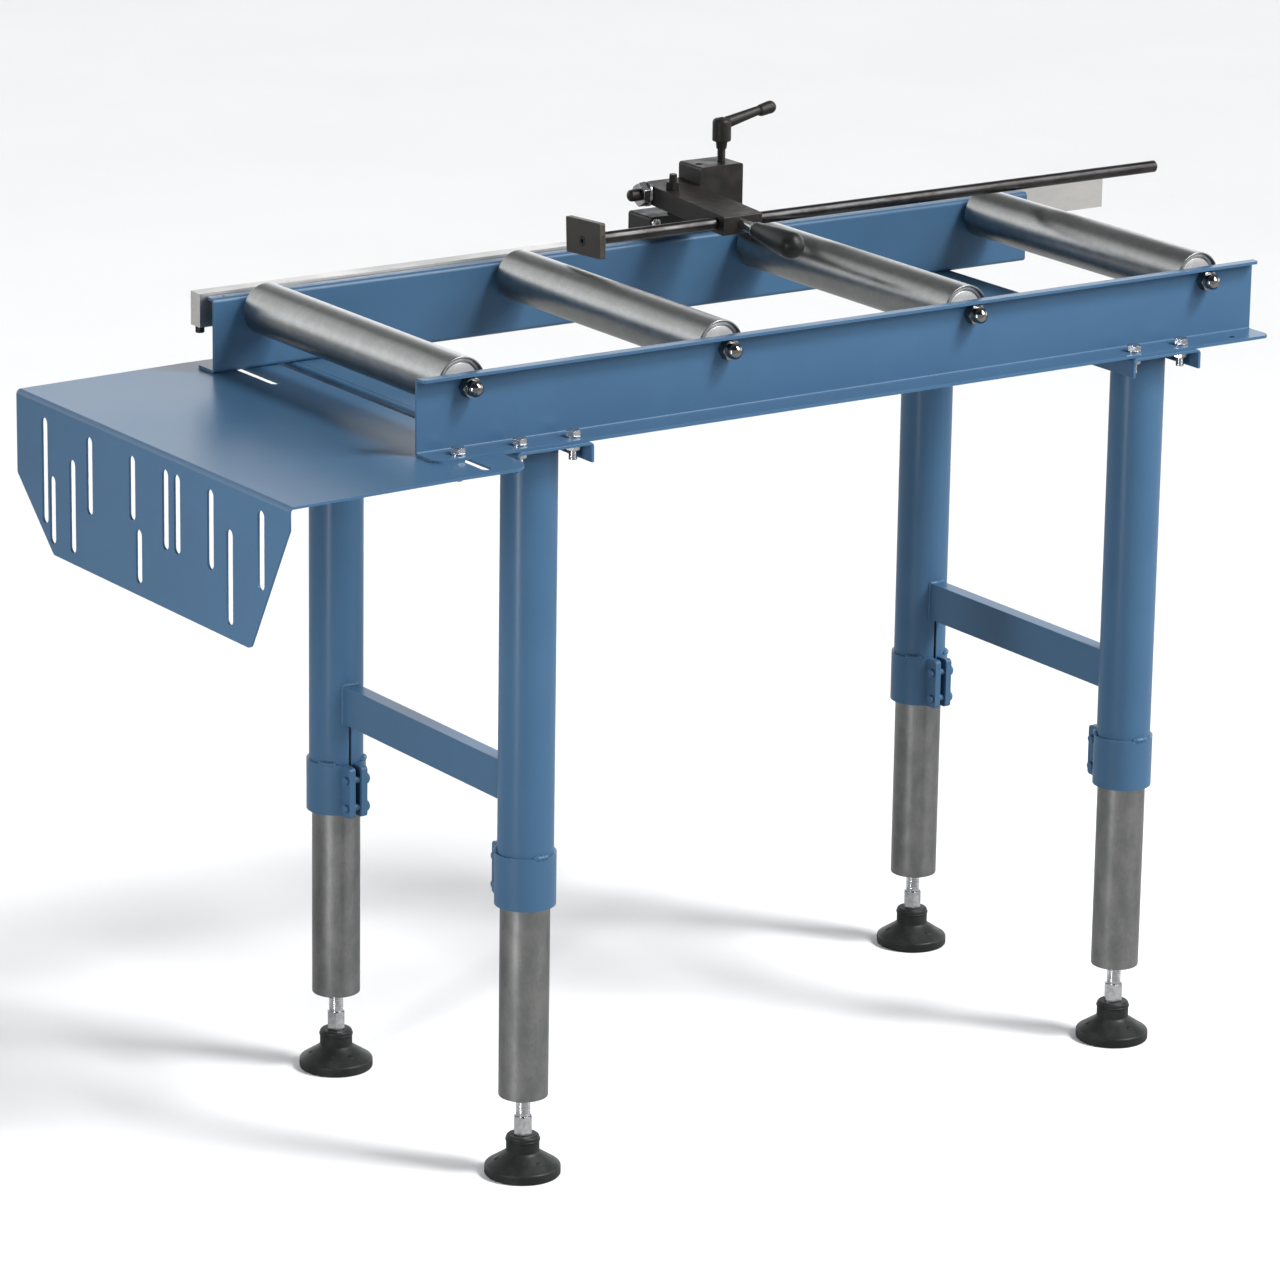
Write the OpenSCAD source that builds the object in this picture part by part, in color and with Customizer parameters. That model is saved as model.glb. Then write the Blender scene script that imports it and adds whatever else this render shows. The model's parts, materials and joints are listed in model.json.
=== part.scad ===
// Roller stand on four telescopic legs, with a sliding length stop along its back rail.
// The modules draw in rail coordinates: X runs along the rails from their left end, Y = 0 lies
// midway between the rails with -Y at the front, and Z = 0 is the underside of the rails.
// place() then puts the origin on the floor, under the middle of the stand's outline.

/* [Rails] */
// Length of both rails
rail_len = 1000; // [970:10:1100]
// Distance between the facing webs of the two rails
rail_gap = 372; // [364:2:400]
// Height of a rail
rail_h = 75; // [70:1:80]
// Sheet thickness of the rails
rail_t = 3; // [2:0.5:4]
// Width of the top flange, web included
rail_top_w = 14; // [12:1:18]
// Width of the bottom flange, web included
rail_foot_w = 37; // [35:1:40]
// Outer radius of the rails' bends
rail_bend_r = 4.5; // [4.5:0.5:6]
// Corner radius of the bottom flanges
rail_corner_r = 9; // [3:1:12]
// Corner radius of the top flanges
rail_tip_r = 4; // [2:1:6]
// Distance from the outer edge of a bottom flange to the bolts in it
bolt_edge = 14; // [12:0.5:15]

/* [Spare holes] */
// Diameter of the spare hole in the front rail's bottom flange
link_hole_d = 8.5; // [6:0.5:10]
// Distance from the right end of the rail to the spare hole
link_hole_end = 41; // [20:1:60]
// Diameter of the small hole in the back rail's top flange
scale_hole_d = 3.5; // [3:0.5:5]
// Distance from the left end of the rail to the small hole
scale_hole_end = 16; // [10:1:30]

/* [Rollers] */
// Outer diameter of the roller tubes
roller_d = 52; // [48:1:56]
// Wall thickness of the roller tubes
roller_wall = 2; // [1.5:0.5:3]
// Gap between the end of a roller tube and the web of a rail
roller_side = 7; // [6:1:12]
// Height of the roller axes over the underside of the rails
roller_z = 61; // [58:1:64]
// Distance from the left end of the rails to the first roller axis
roller_first = 55.5; // [45:0.5:70]
// Distance from the last roller axis to the right end of the rails
roller_last = 62.5; // [50:0.5:75]
// Diameter of the axles
axle_d = 12; // [10:1:14]
// Diameter of the shoulders on the axles
axle_shoulder_d = 16; // [16:0.5:17]
// Outer diameter of the ball bearings
bearing_d = 28; // [26:1:32]
// Width of the ball bearings
bearing_w = 8; // [7:1:10]
// Depth of the bearing housings below the ends of the roller tubes
housing_recess = 3; // [1:0.5:5]
// Length of a bearing housing
housing_len = 18; // [16:1:24]

/* [Axle nuts] */
// Width across the flats of the nuts on the axles
axle_nut_af = 18.5; // [18:0.5:21]
// Height of the hexagon of a cap nut
cap_hex_h = 10; // [8:0.5:12]
// Diameter of the dome of a cap nut
cap_dome_d = 16; // [15.5:0.5:17]
// Height of a whole cap nut
cap_nut_h = 21; // [19:0.5:24]
// Height of the low nuts at the back
low_nut_h = 8; // [6:0.5:9]

/* [Tray] */
// Sheet thickness of the tray
tray_t = 2.5; // [2:0.5:3]
// Reach of the tray to the left of the rails
tray_out = 189; // [180:1:220]
// Depth by which the tray slopes down from the rails to its left edge
tray_drop = 3; // [0.5:0.5:8]
// Reach of the tray to the right of the rails' left end
tray_in = 75; // [68:1:78]
// Distance from the front bolt row to the front edge of the tray
tray_front = 66; // [62:1:90]
// Distance from the back bolt row to the back edge of the tray
tray_back = 33; // [22:1:40]
// Outer radius of the tray's bend
tray_bend_r = 5; // [4:0.5:7]
// Corner radius of the tray plate
tray_corner_r = 25; // [5:1:30]
// Depth of the apron below the tray plate
apron_h = 150; // [146:1:165]
// Width that the apron's front slant takes
apron_front_in = 70; // [55:1:76]
// Depth at which the apron's front slant starts
apron_front_drop = 22; // [12:1:30]
// Width that the apron's back slant takes
apron_back_in = 72; // [50:1:76]
// Depth at which the apron's back slant starts
apron_back_drop = 83; // [80:1:90]
// Width of the slots in the apron
apron_slot_w = 12; // [8:0.5:12]
// Width of the two cross slots in the tray plate
cross_slot_w = 10.5; // [9:0.5:12]
// Distance from the rails' left end to the cross slots and their bolts
cross_slot_x = 33; // [24:1:36]
// Length of each cross slot
cross_slot_len = 103; // [60:1:110]
// Length of the tray bolts below the tray
tray_bolt_drop = 20.5; // [14:0.5:24]

/* [Leg frames] */
// Distance from the ends of the rails to the leg axes
leg_inset = 133.5; // [130:0.5:150]
// Distance between the front and back leg axes
leg_spread = 352; // [340:1:370]
// Width of the head beams
beam_w = 86; // [82:1:90]
// Height of the head beams
beam_h = 20; // [16:1:26]
// Sheet thickness of the head beams
beam_t = 3; // [2:0.5:4]
// Outer radius of the head beams' bends
beam_bend_r = 5; // [4.5:0.5:7]
// Length that a head beam passes each bolt row
beam_over = 17; // [12:1:24]
// Distance by which a head beam and its bolts stand to the left of the leg axes
beam_shift = 2.5; // [0:0.5:4]
// Distance from the middle of a head beam to the bolts on either side of it
beam_bolt_x = 30; // [29:0.5:32]
// Outer diameter of the upper leg tubes
upper_d = 55; // [53:1:58]
// Wall thickness of the upper leg tubes
upper_wall = 2.5; // [2:0.25:2.75]
// Distance from the underside of the rails to the bottom of the upper tubes
upper_drop = 465; // [430:5:500]
// Distance from the top of the collars to the bottom of the cross bars
cross_over = 43; // [20:1:80]
// Height of the cross bars
cross_h = 40; // [30:1:50]
// Width of the cross bars along the rails
cross_w = 16; // [12:1:30]
// Wall thickness of the cross bars
cross_wall = 2; // [1.5:0.5:3]

/* [Clamp collars] */
// Height of the collars
collar_h = 53; // [48:1:60]
// Wall thickness of the collars
collar_wall = 2.5; // [2:0.5:4]
// Width of the gap between a collar's ears
collar_gap = 7.5; // [4:0.5:9]
// Thickness of the ears
ear_t = 6.5; // [5:0.5:8]
// Reach of the ears from the leg axis
ear_reach = 44; // [43:0.5:48]
// Corner radius of the ears
ear_r = 4; // [2:0.5:6]
// Distance from the leg axis to the clamp screws
ear_screw_y = 37.5; // [36.5:0.5:38]
// Distance between a collar's two clamp screws
ear_screw_pitch = 29; // [20:1:32]
// Width of the slit in the upper tubes
slit_w = 3; // [2:0.5:5]

/* [Inner legs and feet] */
// Outer diameter of the inner leg tubes
inner_d = 49; // [47:0.5:49]
// Wall thickness of the inner leg tubes
inner_wall = 2.5; // [2:0.25:3]
// Length of the inner leg tubes
inner_len = 380; // [370:5:400]
// Length of inner tube that shows below the collars
leg_out = 197; // [190:0.5:240]
// Length of the threaded plugs in the inner tubes
plug_len = 30; // [24:1:40]
// Diameter of the feet's threaded stems
stem_d = 14; // [12:1:16]
// Length of stem that shows between the hexagon and the inner tube
stem_show = 21.5; // [18:0.5:30]
// Length of stem inside the plug and the tube
stem_in = 34; // [26:1:45]
// Width across the flats of the stems' hexagons
stem_af = 17; // [17:0.5:22]
// Height of the stems' hexagons
stem_hex_h = 19.5; // [8:0.5:22]
// Diameter of the foot pads
pad_d = 75; // [70:1:90]
// Height of the foot pads, hub included
pad_h = 40.5; // [38:0.5:50]
// Height of the rim of the foot pads
pad_rim_h = 10.5; // [8:0.5:14]
// Height at which the cone of the pads meets the hub
pad_cone_h = 22.5; // [18:0.5:30]
// Diameter of the hub of the foot pads
hub_d = 33; // [29:1:38]

/* [Stop bar] */
// Depth of the stop bar across the rails
bar_t = 18; // [16:1:22]
// Height of the stop bar
bar_h = 34; // [32:1:38]
// Gap between the stop bar and the edge of the back rail's top flange
bar_gap = 2; // [1:0.5:4]
// Height of the bar's top over the rails
bar_rise = 3; // [2:0.5:5]
// Length that the bar passes the left end of the rails
bar_left = 6.5; // [6:0.5:20]
// Length that the bar passes the right end of the rails
bar_right = 115; // [90:5:160]
// Diameter of the spacers between the back rail and the bar
spacer_d = 16; // [14:1:18]
// Distance from the ends of the rails to the outer spacers
spacer_end = 20; // [14:1:24]
// Diameter of the end screw's head below the bar
end_head_d = 9; // [8:0.5:12]
// Height of the end screw's head
end_head_h = 6.5; // [4:0.5:8]

/* [Carriage] */
// Distance from the left end of the rails to the carriage
car_x = 519; // [420:1:560]
// Length of the carriage
car_len = 115; // [112:1:125]
// Depth of the carriage across the bar
car_depth = 40; // [36:1:46]
// Distance by which the carriage's middle lies behind the middle of the bar
car_shift = 2.5; // [0:0.5:4]
// Thickness of the carriage over the bar
car_base_h = 20; // [16:1:24]
// Length of the carriage's tower
tower_len = 53; // [46:1:54]
// Height of the tower over the carriage's low part
tower_h = 45.5; // [40:0.5:55]
// Radius of the carriage's edges
car_edge_r = 3; // [1:0.5:4]
// Thickness of the lip below the bar
lip_t = 8; // [5:0.5:10]
// Diameter of the blind hole in the tower's top
tower_hole_d = 8; // [5:0.5:9]
// Diameter of the head of the carriage's set screw
set_head_d = 10; // [8:0.5:11]

/* [Clamping lever] */
// Diameter of the clamping stud
stud_d = 8; // [6:0.5:9]
// Distance from the tower's right face to the stud
stud_in = 15.5; // [12:0.5:18]
// Length of stud that shows over the tower
stud_show = 13.5; // [8:0.5:20]
// Diameter of the lever's hub
lever_hub_d = 19.5; // [18:0.5:22]
// Height of the lever's hub
lever_hub_h = 23.5; // [20:0.5:30]
// Height of the slim neck below the hub
lever_neck_h = 8; // [6:0.5:12]
// Reach of the lever from its axis to the middle of the grip's end
lever_reach = 60; // [50:0.5:75]
// Rise of the lever over its reach
lever_rise = 11; // [5:0.5:16]

/* [Flip-up arm] */
// Width of the arm along the bar
arm_w = 46.5; // [43:0.5:50]
// Thickness of the arm
arm_t = 20; // [18:1:22]
// Length of the arm
arm_len = 150; // [130:1:180]
// Angle by which the arm slopes down to the front
arm_tilt = 3.6; // [2:0.1:6]
// Distance from the rear end of the arm to its pivot
pivot_end = 11.5; // [11:0.5:14]
// Distance from the carriage's back face to the pivot
pivot_in = 12.5; // [9:0.5:14]
// Height of the pivot over the carriage's low part
pivot_up = 18.5; // [17:0.5:24]
// Diameter of the pivot bolt
pivot_d = 12; // [10:0.5:13]
// Width across the flats of the pivot nut
pivot_af = 22; // [19:0.5:24]
// Height of the pivot nut
pivot_nut_h = 8.5; // [7:0.5:12]
// Diameter of the pivot washer
pivot_washer_d = 26; // [24:0.5:30]
// Length of the pivot bolt beyond its nut
pivot_out = 12.5; // [5:0.5:15]
// Diameter of the rest screw
rest_d = 8; // [6:0.5:8]
// Distance from the pivot to the rest screw
rest_y = 26.5; // [24:0.5:28]
// Distance from the left face of the arm to the rest screw
rest_x = 12.5; // [9:0.5:14]
// Length of the rest screw beyond its lock nut
rest_out = 8; // [3:0.5:10]

/* [Stop rod] */
// Diameter of the rod
rod_d = 12.5; // [11:0.5:14]
// Distance from the tip of the arm to the rod's axis
rod_tip = 14.5; // [13:0.5:18]
// Length of rod and plate to the left of the arm
rod_left = 162; // [120:1:200]
// Length of the rod with the plate
rod_len = 729; // [650:0.5:800]
// Width of the stop plate
plate_w = 62; // [50:1:70]
// Height of the stop plate
plate_h = 36; // [30:1:40]
// Thickness of the stop plate
plate_t = 6; // [5:0.5:8]
// Distance from the rod's axis to the front edge of the stop plate
plate_front = 33; // [26:1:36]
// Distance from the rod's axis to the lower edge of the stop plate
plate_low = 14.5; // [13:0.5:16]
// Angle by which the front edge of the stop plate is raised
plate_tilt = 3; // [0:0.5:5]
// Corner radius of the stop plate
plate_r = 2; // [1:0.5:5]

/* [Grip] */
// Diameter of the grip's clamping stud
grip_stud_d = 12; // [10:0.5:12]
// Length of stud between the arm and the grip
grip_show = 13; // [8:1:20]
// Length of the grip
grip_len = 85; // [70:1:100]
// Diameter of the grip at the arm
grip_d1 = 17; // [16:0.5:20]
// Diameter of the grip near its far end
grip_d2 = 28; // [24:0.5:32]

/* [Fasteners] */
// Diameter of the frame, tray and clamp screws
screw_d = 8; // [7:0.5:8]
// Width across the flats of their nuts and hexagon heads
screw_af = 13; // [12:0.5:14]
// Height of the hexagon heads
head_h = 5.3; // [4:0.1:6]
// Height of the nuts
nut_h = 6.5; // [5:0.5:8]
// Diameter of the washers
washer_d = 15.5; // [15.5:0.5:18]
// Thickness of the washers
washer_t = 1.6; // [1:0.1:2]
// Length of the bolts below the head beams' top
bolt_drop = 19; // [17:0.5:24]
// Diameter of the button heads on the collars
button_d = 13; // [12:0.5:14]

/* [Fits] */
// Radial clearance of a running or threaded fit
run_fit = 0.1; // [0.05:0.01:0.1]
// Radial clearance of a screw in a plain hole
hole_fit = 0.3; // [0.2:0.05:0.5]
// Clearance between sliding faces
slide_fit = 0.3; // [0.2:0.05:0.4]

/* [Hidden] */
$fn = 64;

// Overlap of a cutting shape past the face that it cuts
cut = 1;
// Bevel on the corners of nuts and hexagon heads
bevel = 0.8;
// Counts that the node names fix
roller_count = 4;

// Details that only one kind of piece has
// Cover of a bearing housing, and the groove pressed round it
cover_t = 3;
groove_depth = 4;
groove_w = 2;
housing_rim = 2.5;
// End wall of a cap nut, and length of an axle beyond its low nut
cap_wall = 8;
axle_over = 1.5;
// Corner radii of the apron's slants
apron_front_r = 8;
apron_back_r = 3;
// Button head of a clamp screw: height, hexagon socket and its depth, length past the ears
button_h = 5;
button_key = 5;
button_key_depth = 2.5;
button_over = 3;
// Distance by which the clamp screws sit below the middle of a collar
ear_screw_low = 2;
// Socket screws that hold the bar to its spacers, and the play round their heads
bar_screw_d = 8;
bar_screw_head_d = 13;
bar_screw_head_h = 8;
bar_screw_key = 6;
head_play = 0.4;
// Blind end of the spacers, and the gap that the screws leave to it
spacer_end_wall = 1;
spacer_tip_gap = 0.5;
// End screw below the bar: shank, depth in the bar, socket, and distance before the bar's middle
end_screw_d = 5;
end_screw_in = 12;
end_screw_key = 4;
end_screw_front = 1;
// Blind hole in the tower's top, and depth of the pivot bolt in the tower
tower_hole_in = 9.5;
tower_hole_depth = 15;
pivot_in_tower = 25;
// Place of the set screw from the carriage's left end and below the top of its low part
set_x = 6;
set_drop = 6;
// Shank, depth, head height and socket of the set screw
set_d = 5;
set_in = 10;
set_head_h = 4.5;
set_key = 4;
// Reach of the carriage's lip under the bar from the bar's front face
lip_start = 2;
// Countersunk screw of the stop plate: shank, head, depth in the rod, socket and its depth
plate_screw_d = 6;
plate_head_d = 12;
plate_head_h = 3.3;
plate_screw_in = 18;
plate_key = 4;
plate_key_depth = 2;

// Smallest overlap of a cutter with a face, and slope of the bevels of nuts and heads
hair = 0.01;
bevel_run = 1.7;
// Height of a cap nut's dome against a ball, and flat crown of a button head against its width
cap_flat = 0.85;
button_crown = 0.4;
// Bevel of a socket screw's head
socket_bevel = 0.6;
// Reach of a collar's ears into its ring, as a share of the tube's radius
ear_root = 0.6;
// Foot pad: hollow underneath, and radii of its lower edge, its rim and its hub
pad_hollow_h = 3;
pad_hollow_in = 10;
pad_hollow_flare = 2;
pad_edge_r = 1.5;
pad_rim_r = 3;
pad_rim_turn = 70;
// Fillet where the cone of a pad meets its hub: width, and heights below and above the cone's end
cone_fillet_w = 2.5;
cone_fillet_low = 1.2;
cone_fillet_high = 1.3;
// Bevel at the top of a foot's stem
stem_tip_h = 1;
// Clamping lever: neck over the stud and its flare, edges of the hub, and rise of its crown
lever_neck_over = 2.5;
lever_neck_flare = 2;
hub_bevel = 0.8;
hub_crown_r = 4;
hub_crown_rise = 1.6;
// Height of the lever's arm on the hub, and where its slim part meets the thicker end
lever_arm_at = 0.78;
lever_mid_at = 0.74;
lever_mid_rise = 0.8;
// Radii of the arm at the hub, at its neck, and at both ends of its thicker part
lever_root_r = 6.3;
lever_neck_r = 4.8;
lever_end_r1 = 6.2;
lever_end_r2 = 6.8;
// Bevel of the grip's end at the ferrule
grip_bevel = 1;

// Levels and rows that several pieces share
web_y = rail_gap / 2;
web_out_y = web_y + rail_t;
foot_y = web_y + rail_foot_w;
bolt_y = foot_y - bolt_edge;
roller_len = rail_gap - 2 * roller_side;
roller_pitch = (rail_len - roller_first - roller_last) / (roller_count - 1);
leg_y = leg_spread / 2;
leg_xs = [leg_inset, rail_len - leg_inset];
bolt_xs = [for (x = leg_xs, s = [-1, 1]) x - beam_shift + s * beam_bolt_x];
upper_bore = upper_d - 2 * upper_wall;
inner_bore = inner_d - 2 * inner_wall;
collar_z = -upper_drop;
ears_mid_z = collar_z + collar_h / 2 - ear_screw_low;
ear_screw_zs = [ears_mid_z - ear_screw_pitch / 2, ears_mid_z + ear_screw_pitch / 2];
ear_x = collar_gap / 2 + ear_t;
cross_drop = upper_drop - collar_h - cross_over;
// Depth of the stems in the hubs of the pads
stem_socket = pad_h - pad_rim_h;
tube_low = collar_z - leg_out;
hex_low = tube_low - stem_show - stem_hex_h;
floor_z = hex_low - pad_h;

// Tray edges across the rails
tray_y0 = -bolt_y - tray_front;
tray_y1 = bolt_y + tray_back;
// Length by which a cross slot passes its bolt towards the outside, at the front and at the back
front_slot_over = 54;
back_slot_over = 14;
// Slots in the apron: distance from the middle of the rails, then depths of the upper and lower end
apron_slots = [
  [186, 16, 122], [171, 71, 139], [131, 46, 139], [97, 16, 93], [14, 16, 79], [2, 85, 138],
  [-49, 15, 93], [-71, 15, 92], [-133, 15, 92], [-168, 45, 137], [-225, 14, 90]
];

// Stop bar and carriage
bar_y = web_y + rail_top_w + bar_gap;
bar_mid_y = bar_y + bar_t / 2;
bar_top = rail_h + bar_rise;
bar_low = bar_top - bar_h;
bar_fix_z = bar_top - bar_h / 2;
spacer_xs = [
  spacer_end,
  for (i = [0:roller_count - 2]) roller_first + (i + 0.5) * roller_pitch,
  rail_len - spacer_end
];
end_screw_x = -bar_left + end_head_d / 2;
end_screw_y = bar_mid_y - end_screw_front;
car_front = bar_mid_y + car_shift - car_depth / 2;
car_back = car_front + car_depth;
car_low = bar_top + slide_fit;
car_step = car_low + car_base_h;
tower_top = car_step + tower_h;
car_end = car_x + car_len;
tower_x = car_end - tower_len;
stud_x = car_end - stud_in;
set_z = car_step - set_drop;
neck_z = tower_top + stud_show;
hub_z = neck_z + lever_neck_h;

// Arm, rod and grip, on the arm's own line from its pivot towards the front
arm_x1 = tower_x - 2 * slide_fit;
arm_x0 = arm_x1 - arm_w;
pivot_y = car_back - pivot_in;
pivot_z = car_step + pivot_up;
arm_tip = arm_len - pivot_end;
rod_reach = arm_tip - rod_tip;
rod_y = pivot_y - rod_reach * cos(arm_tilt);
rod_z = pivot_z - rod_reach * sin(arm_tilt);
rod_x0 = arm_x0 - rod_left;
grip_start = arm_tip + grip_show;
grip_socket = 14;
washer_x = arm_x0 - slide_fit;
pivot_washer_t = 2.5;
// Gap that keeps the pivot nut and its washer two solids
washer_gap = 0.05;

// Outline of the whole stand
x_low = -tray_out;
x_high = max(rail_len + bar_right, rod_x0 + rod_len);
y_low = tray_y0;
y_high = max(tray_y1, car_back, bolt_y + beam_over);

module place() {
  translate([-(x_low + x_high) / 2, -(y_low + y_high) / 2, -floor_z]) children();
}

// Points on an arc from angle a0 to angle a1
function arc(cx, cy, r, a0, a1, n = 8) =
  [for (i = [0:n]) let (a = a0 + (a1 - a0) * i / n) [cx + r * cos(a), cy + r * sin(a)]];

function unit(v) = v / norm(v);
// Half of the angle between the two sides that meet at corner p
function half_angle(p0, p, p1) = acos(unit(p0 - p) * unit(p1 - p)) / 2;

// Outline whose convex corners are rounded: rs gives each corner's radius
module round_poly(pts, rs) {
  n = len(pts);
  polygon([
    for (i = [0:n - 1])
      let (p = pts[i], q0 = pts[(i + n - 1) % n], q1 = pts[(i + 1) % n],
           d = rs[i] / tan(half_angle(q0, p, q1)))
      each (rs[i] > 0 ? [p + unit(q0 - p) * d, p + unit(q1 - p) * d] : [p])
  ]);
  for (i = [0:n - 1])
    if (rs[i] > 0) {
      p = pts[i];
      q0 = pts[(i + n - 1) % n];
      q1 = pts[(i + 1) % n];
      way = unit(unit(q0 - p) + unit(q1 - p));
      translate(p + way * rs[i] / sin(half_angle(q0, p, q1))) circle(r = rs[i]);
    }
}

// A profile drawn in Y and Z, extruded towards +X
module along_x(l) { rotate([90, 0, 90]) linear_extrude(l) children(); }
// A profile drawn in X and Z, extruded towards +Y
module along_y(l) { translate([0, l, 0]) rotate([90, 0, 0]) linear_extrude(l) children(); }
module cyl_x(d, l) { rotate([0, 90, 0]) cylinder(d = d, h = l); }
module cyl_y(d, l) { rotate([-90, 0, 0]) cylinder(d = d, h = l); }

// Removes what lies outside a rounded corner at the origin of material in +X, +Y
module corner_cutter(r, h) {
  difference() {
    translate([-cut, -cut, 0]) cube([r + cut, r + cut, h]);
    translate([r, r, -cut]) cylinder(r = r, h = h + 2 * cut);
  }
}

// Hexagon with bevelled corners at the top, and at the bottom if both is true
module hexagon(af, h, both = false) {
  r = af / 2 / cos(30);
  low = both ? bevel : 0;
  intersection() {
    cylinder(r = r, h = h, $fn = 6);
    rotate_extrude() polygon([
      [0, 0], [r - low * bevel_run, 0], [r + hair, low], [r + hair, h - bevel],
      [r - bevel * bevel_run, h], [0, h]
    ]);
  }
}
module hex_nut(af, h, bore) {
  difference() {
    hexagon(af, h, true);
    translate([0, 0, -cut]) cylinder(d = bore, h = h + 2 * cut);
  }
}

// Profile of the back rail in Y and Z, from the inner face of its web
module rail_section() {
  inner_r = rail_bend_r - rail_t;
  difference() {
    round_poly(
      [[0, 0], [rail_foot_w, 0], [rail_foot_w, rail_h], [0, rail_h]],
      [rail_bend_r, 0, 0, rail_bend_r]
    );
    round_poly(
      [[rail_t, rail_t], [rail_foot_w + cut, rail_t],
       [rail_foot_w + cut, rail_h - rail_t], [rail_t, rail_h - rail_t]],
      [inner_r, 0, 0, inner_r]
    );
    translate([rail_top_w, 2 * rail_t]) square([rail_foot_w, rail_h]);
  }
}

// Back rail: the front rail is its mirror image
module rail_blank() {
  difference() {
    translate([0, web_y, 0]) along_x(rail_len) rail_section();
    for (i = [0:roller_count - 1])
      translate([roller_first + i * roller_pitch, web_y - cut, roller_z])
        cyl_y(axle_d + 2 * run_fit, rail_t + 2 * cut);
    for (x = concat([cross_slot_x], bolt_xs))
      translate([x, bolt_y, -cut]) cylinder(d = screw_d + 2 * hole_fit, h = rail_t + 2 * cut);
    translate([0, foot_y, -cut]) rotate([0, 0, -90]) corner_cutter(rail_corner_r, rail_t + 2 * cut);
    translate([rail_len, foot_y, -cut]) rotate([0, 0, 180])
      corner_cutter(rail_corner_r, rail_t + 2 * cut);
    translate([0, web_y + rail_top_w, rail_h - rail_t - cut]) rotate([0, 0, -90])
      corner_cutter(rail_tip_r, rail_t + 2 * cut);
    translate([rail_len, web_y + rail_top_w, rail_h - rail_t - cut]) rotate([0, 0, 180])
      corner_cutter(rail_tip_r, rail_t + 2 * cut);
  }
}
module front_rail() {
  color("steelblue") difference() {
    mirror([0, 1, 0]) rail_blank();
    translate([rail_len - link_hole_end, -bolt_y, -cut])
      cylinder(d = link_hole_d, h = rail_t + 2 * cut);
  }
}
module back_rail() {
  color("steelblue") difference() {
    rail_blank();
    translate([scale_hole_end, (web_out_y + web_y + rail_top_w) / 2, rail_h - rail_t - cut])
      cylinder(d = scale_hole_d, h = rail_t + 2 * cut);
  }
}

// Rollers: each is drawn about its own axis, with its middle at the origin
module at_roller(i) { translate([roller_first + i * roller_pitch, 0, roller_z]) children(); }
module roller_tube(i) {
  color("gainsboro") at_roller(i) translate([0, -roller_len / 2, 0]) difference() {
    cyl_y(roller_d, roller_len);
    translate([0, -cut, 0]) cyl_y(roller_d - 2 * roller_wall, roller_len + 2 * cut);
  }
}
// Bearing housing and bearing, with z = 0 at the end of the tube and the tube below it
module roller_end_pair(i) {
  seat_r = bearing_d / 2 + run_fit;
  rim_r = roller_d / 2 - roller_wall - run_fit;
  cover_r = axle_shoulder_d / 2 + 1;
  lip_r = rim_r - housing_rim;
  groove_r = lip_r - groove_w;
  face_z = -housing_recess;
  back_z = face_z - housing_len;
  bearing_z = face_z - cover_t - run_fit;
  module housing() {
    rotate_extrude() polygon([
      [cover_r, face_z], [groove_r, face_z], [groove_r, face_z - groove_depth],
      [lip_r, face_z - groove_depth], [lip_r, face_z], [rim_r, face_z], [rim_r, back_z], [seat_r, back_z],
      [seat_r, face_z - cover_t], [cover_r, face_z - cover_t]
    ]);
  }
  module bearing() {
    rotate_extrude() translate([axle_d / 2 + run_fit, bearing_z - bearing_w])
      square([bearing_d / 2 - axle_d / 2 - run_fit, bearing_w]);
  }
  color("silver") at_roller(i) for (s = [0, 180])
    rotate([0, 0, s]) translate([0, roller_len / 2, 0]) rotate([-90, 0, 0]) {
      housing();
      bearing();
    }
}
// Fixed axles: the shoulders reach from the bearings to the webs
module axles() {
  cap_in = cap_nut_h - cap_wall;
  bearing_y = roller_len / 2 - housing_recess - cover_t;
  color("dimgray") for (i = [0:roller_count - 1]) at_roller(i) {
    translate([0, -web_out_y - cap_in, 0])
      cyl_y(axle_d, 2 * web_out_y + cap_in + low_nut_h + axle_over);
    for (y = [-web_y, bearing_y + slide_fit])
      translate([0, y, 0]) cyl_y(axle_shoulder_d, web_y - bearing_y - slide_fit);
  }
}
module cap_nut() {
  bore = axle_d + 2 * run_fit;
  depth = cap_nut_h - cap_wall + slide_fit;
  // The dome is a little flatter than a ball
  side_h = cap_nut_h - cap_dome_d / 2 * cap_flat;
  difference() {
    union() {
      hexagon(axle_nut_af, cap_hex_h, true);
      rotate_extrude() polygon(concat(
        [[0, cut], [cap_dome_d / 2, cut]],
        [for (a = [0:10:90]) [cap_dome_d / 2 * cos(a), side_h + (cap_nut_h - side_h) * sin(a)]]
      ));
    }
    translate([0, 0, -cut]) cylinder(d = bore, h = depth + cut);
  }
}
module axle_nuts() {
  color("lightgray") for (i = [0:roller_count - 1]) at_roller(i) {
    translate([0, -web_out_y, 0]) rotate([90, 0, 0]) cap_nut();
    translate([0, web_out_y, 0]) rotate([-90, 0, 0])
      hex_nut(axle_nut_af, low_nut_h, axle_d + 2 * run_fit);
  }
}

// Slot of width w and length l along +Y, from the origin
module slot(w, l) {
  r = w / 2;
  translate([0, r]) circle(r = r);
  translate([0, l - r]) circle(r = r);
  translate([-r, r]) square([w, l - w]);
}
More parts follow.
